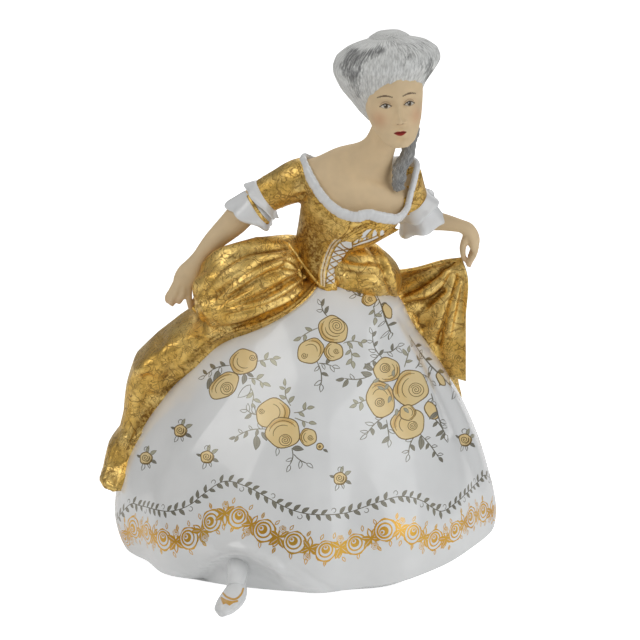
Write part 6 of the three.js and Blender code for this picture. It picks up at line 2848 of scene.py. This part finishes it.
@dataclass
class Studio:
    """A pale floor, soft lights, and the camera at the photograph's angle."""

    focus: Place = (5.93, 0.0, 92.93)
    frame_width: float = 640 / 2.53
    distance: float = 5000.0
    sensor: float = 36.0
    sky_low: float = 0.12
    sky_high: float = 0.35

    def build(self) -> None:
        """Makes the floor, the lights, the sky and the camera."""
        self.make_floor()
        self.make_sky()
        self.make_light("key", (-640, -340, 820), 750, 3.1, (1.0, 0.985, 0.96))
        self.make_light("fill", (660, -420, 420), 800, 2.5, (0.98, 0.99, 1.0))
        self.make_light("rim", (120, 640, 560), 700, 1.6, (1.0, 1.0, 1.0))
        self.make_camera()

    def make_floor(self) -> None:
        """Makes the pale floor."""
        size = 3000.0
        corners = np.array([(-size, -size, 0), (size, -size, 0), (size, size, 0), (-size, size, 0)], float)
        mesh = mesh_of("floor", Form(corners, np.array([[0, 1, 2, 3]])))
        nodes, shader = plain_material("pale floor")
        place = nodes.add("ShaderNodeTexCoord").outputs["Object"]
        noise = nodes.noise(place, 3.0, 2.0)
        seen_plain = nodes.add("ShaderNodeLightPath").outputs["Is Camera Ray"]
        inputs = {
            "Base Color": nodes.mix(noise.outputs[0], rgba((0.78, 0.78, 0.78)), rgba((0.81, 0.81, 0.81))),
            "Roughness": 0.7,
            "Specular IOR Level": 0.2,
            "Emission Color": rgba((1.0, 1.0, 1.0)),
            "Emission Strength": nodes.ramp(seen_plain, 0.0, 1.0, 0.2, 0.8),
        }
        nodes.feed(shader, inputs)
        mesh.materials.append(material_of(nodes))
        new_object("floor", mesh)

    def make_sky(self) -> None:
        """Makes the soft light from all round, brighter above and towards the front."""
        world = bpy.data.worlds.new("studio")
        world.use_nodes = True
        nodes = Nodes(world.node_tree)
        background = world.node_tree.nodes["Background"]
        place = nodes.add("ShaderNodeTexCoord").outputs["Generated"]
        parts = nodes.add("ShaderNodeSeparateXYZ", inputs={0: place}).outputs
        up = nodes.ramp(parts["Z"], -0.2, 0.9, self.sky_low, self.sky_high)
        bands = nodes.math("SINE", nodes.math("MULTIPLY", nodes.math("ADD", parts["X"], parts["Y"]), 7.0))
        soft = nodes.math("MULTIPLY", up, nodes.ramp(bands, -1.0, 1.0, 0.72, 1.15))
        seen_plain = nodes.add("ShaderNodeLightPath").outputs["Is Camera Ray"]
        level = nodes.math("ADD", soft, nodes.math("MULTIPLY", seen_plain, 1.2))
        nodes.feed(background, {"Strength": level, "Color": rgba((1.0, 1.0, 1.0))})
        bpy.context.scene.world = world

    def make_light(self, name: str, place: Place, size: float, power: float, tint: Colour) -> None:
        """Makes a square soft light that looks at the figurine.

        Args:
            name: The light's name.
            place: Where it is, in millimetres.
            size: The length of its sides, in millimetres.
            power: Its power in watts.
            tint: Its colour.
        """
        lamp = bpy.data.lights.new(name, "AREA")
        lamp.size = size * METRES
        lamp.energy = power
        lamp.color = tint
        light = new_object(name, lamp)
        light.location = Vector(place) * METRES
        aim = Vector(self.focus) * METRES - light.location
        light.rotation_euler = aim.to_track_quat("-Z", "Y").to_euler()

    def make_camera(self) -> None:
        """Makes the camera, far off with a long lens."""
        lens = bpy.data.cameras.new("camera")
        lens.sensor_width = self.sensor
        lens.lens = self.sensor * self.distance / self.frame_width
        lens.clip_start, lens.clip_end = 0.1, 20.0
        camera = new_object("camera", lens)
        camera.location = (Vector(self.focus) - Vector(SEEN_IN) * self.distance) * METRES
        camera.rotation_euler = Vector(SEEN_IN).to_track_quat("-Z", "Y").to_euler()
        bpy.context.scene.camera = camera
        bpy.context.scene.view_settings.view_transform = "Standard"


def main() -> None:
    """Builds the figurine's pieces in order, then the studio."""
    logging.basicConfig(level=logging.INFO, format="%(name)s: %(message)s")
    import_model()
    finishes = Finishes()
    Skirt(finishes).build(Brushwork(SkirtForm()).everything())
    Overskirt(finishes).build()
    puffs = Puffs(finishes).build()
    Wing(finishes).build()
    body = Body(finishes)
    bodice = body.build()
    ruffles = Frills(finishes, body.neckline).build()
    Cords(finishes).build([bodice, *puffs, *ruffles])
    Head(finishes).build()
    Foot(finishes).build()
    Studio().build()


if __name__ == "__main__":
    main()
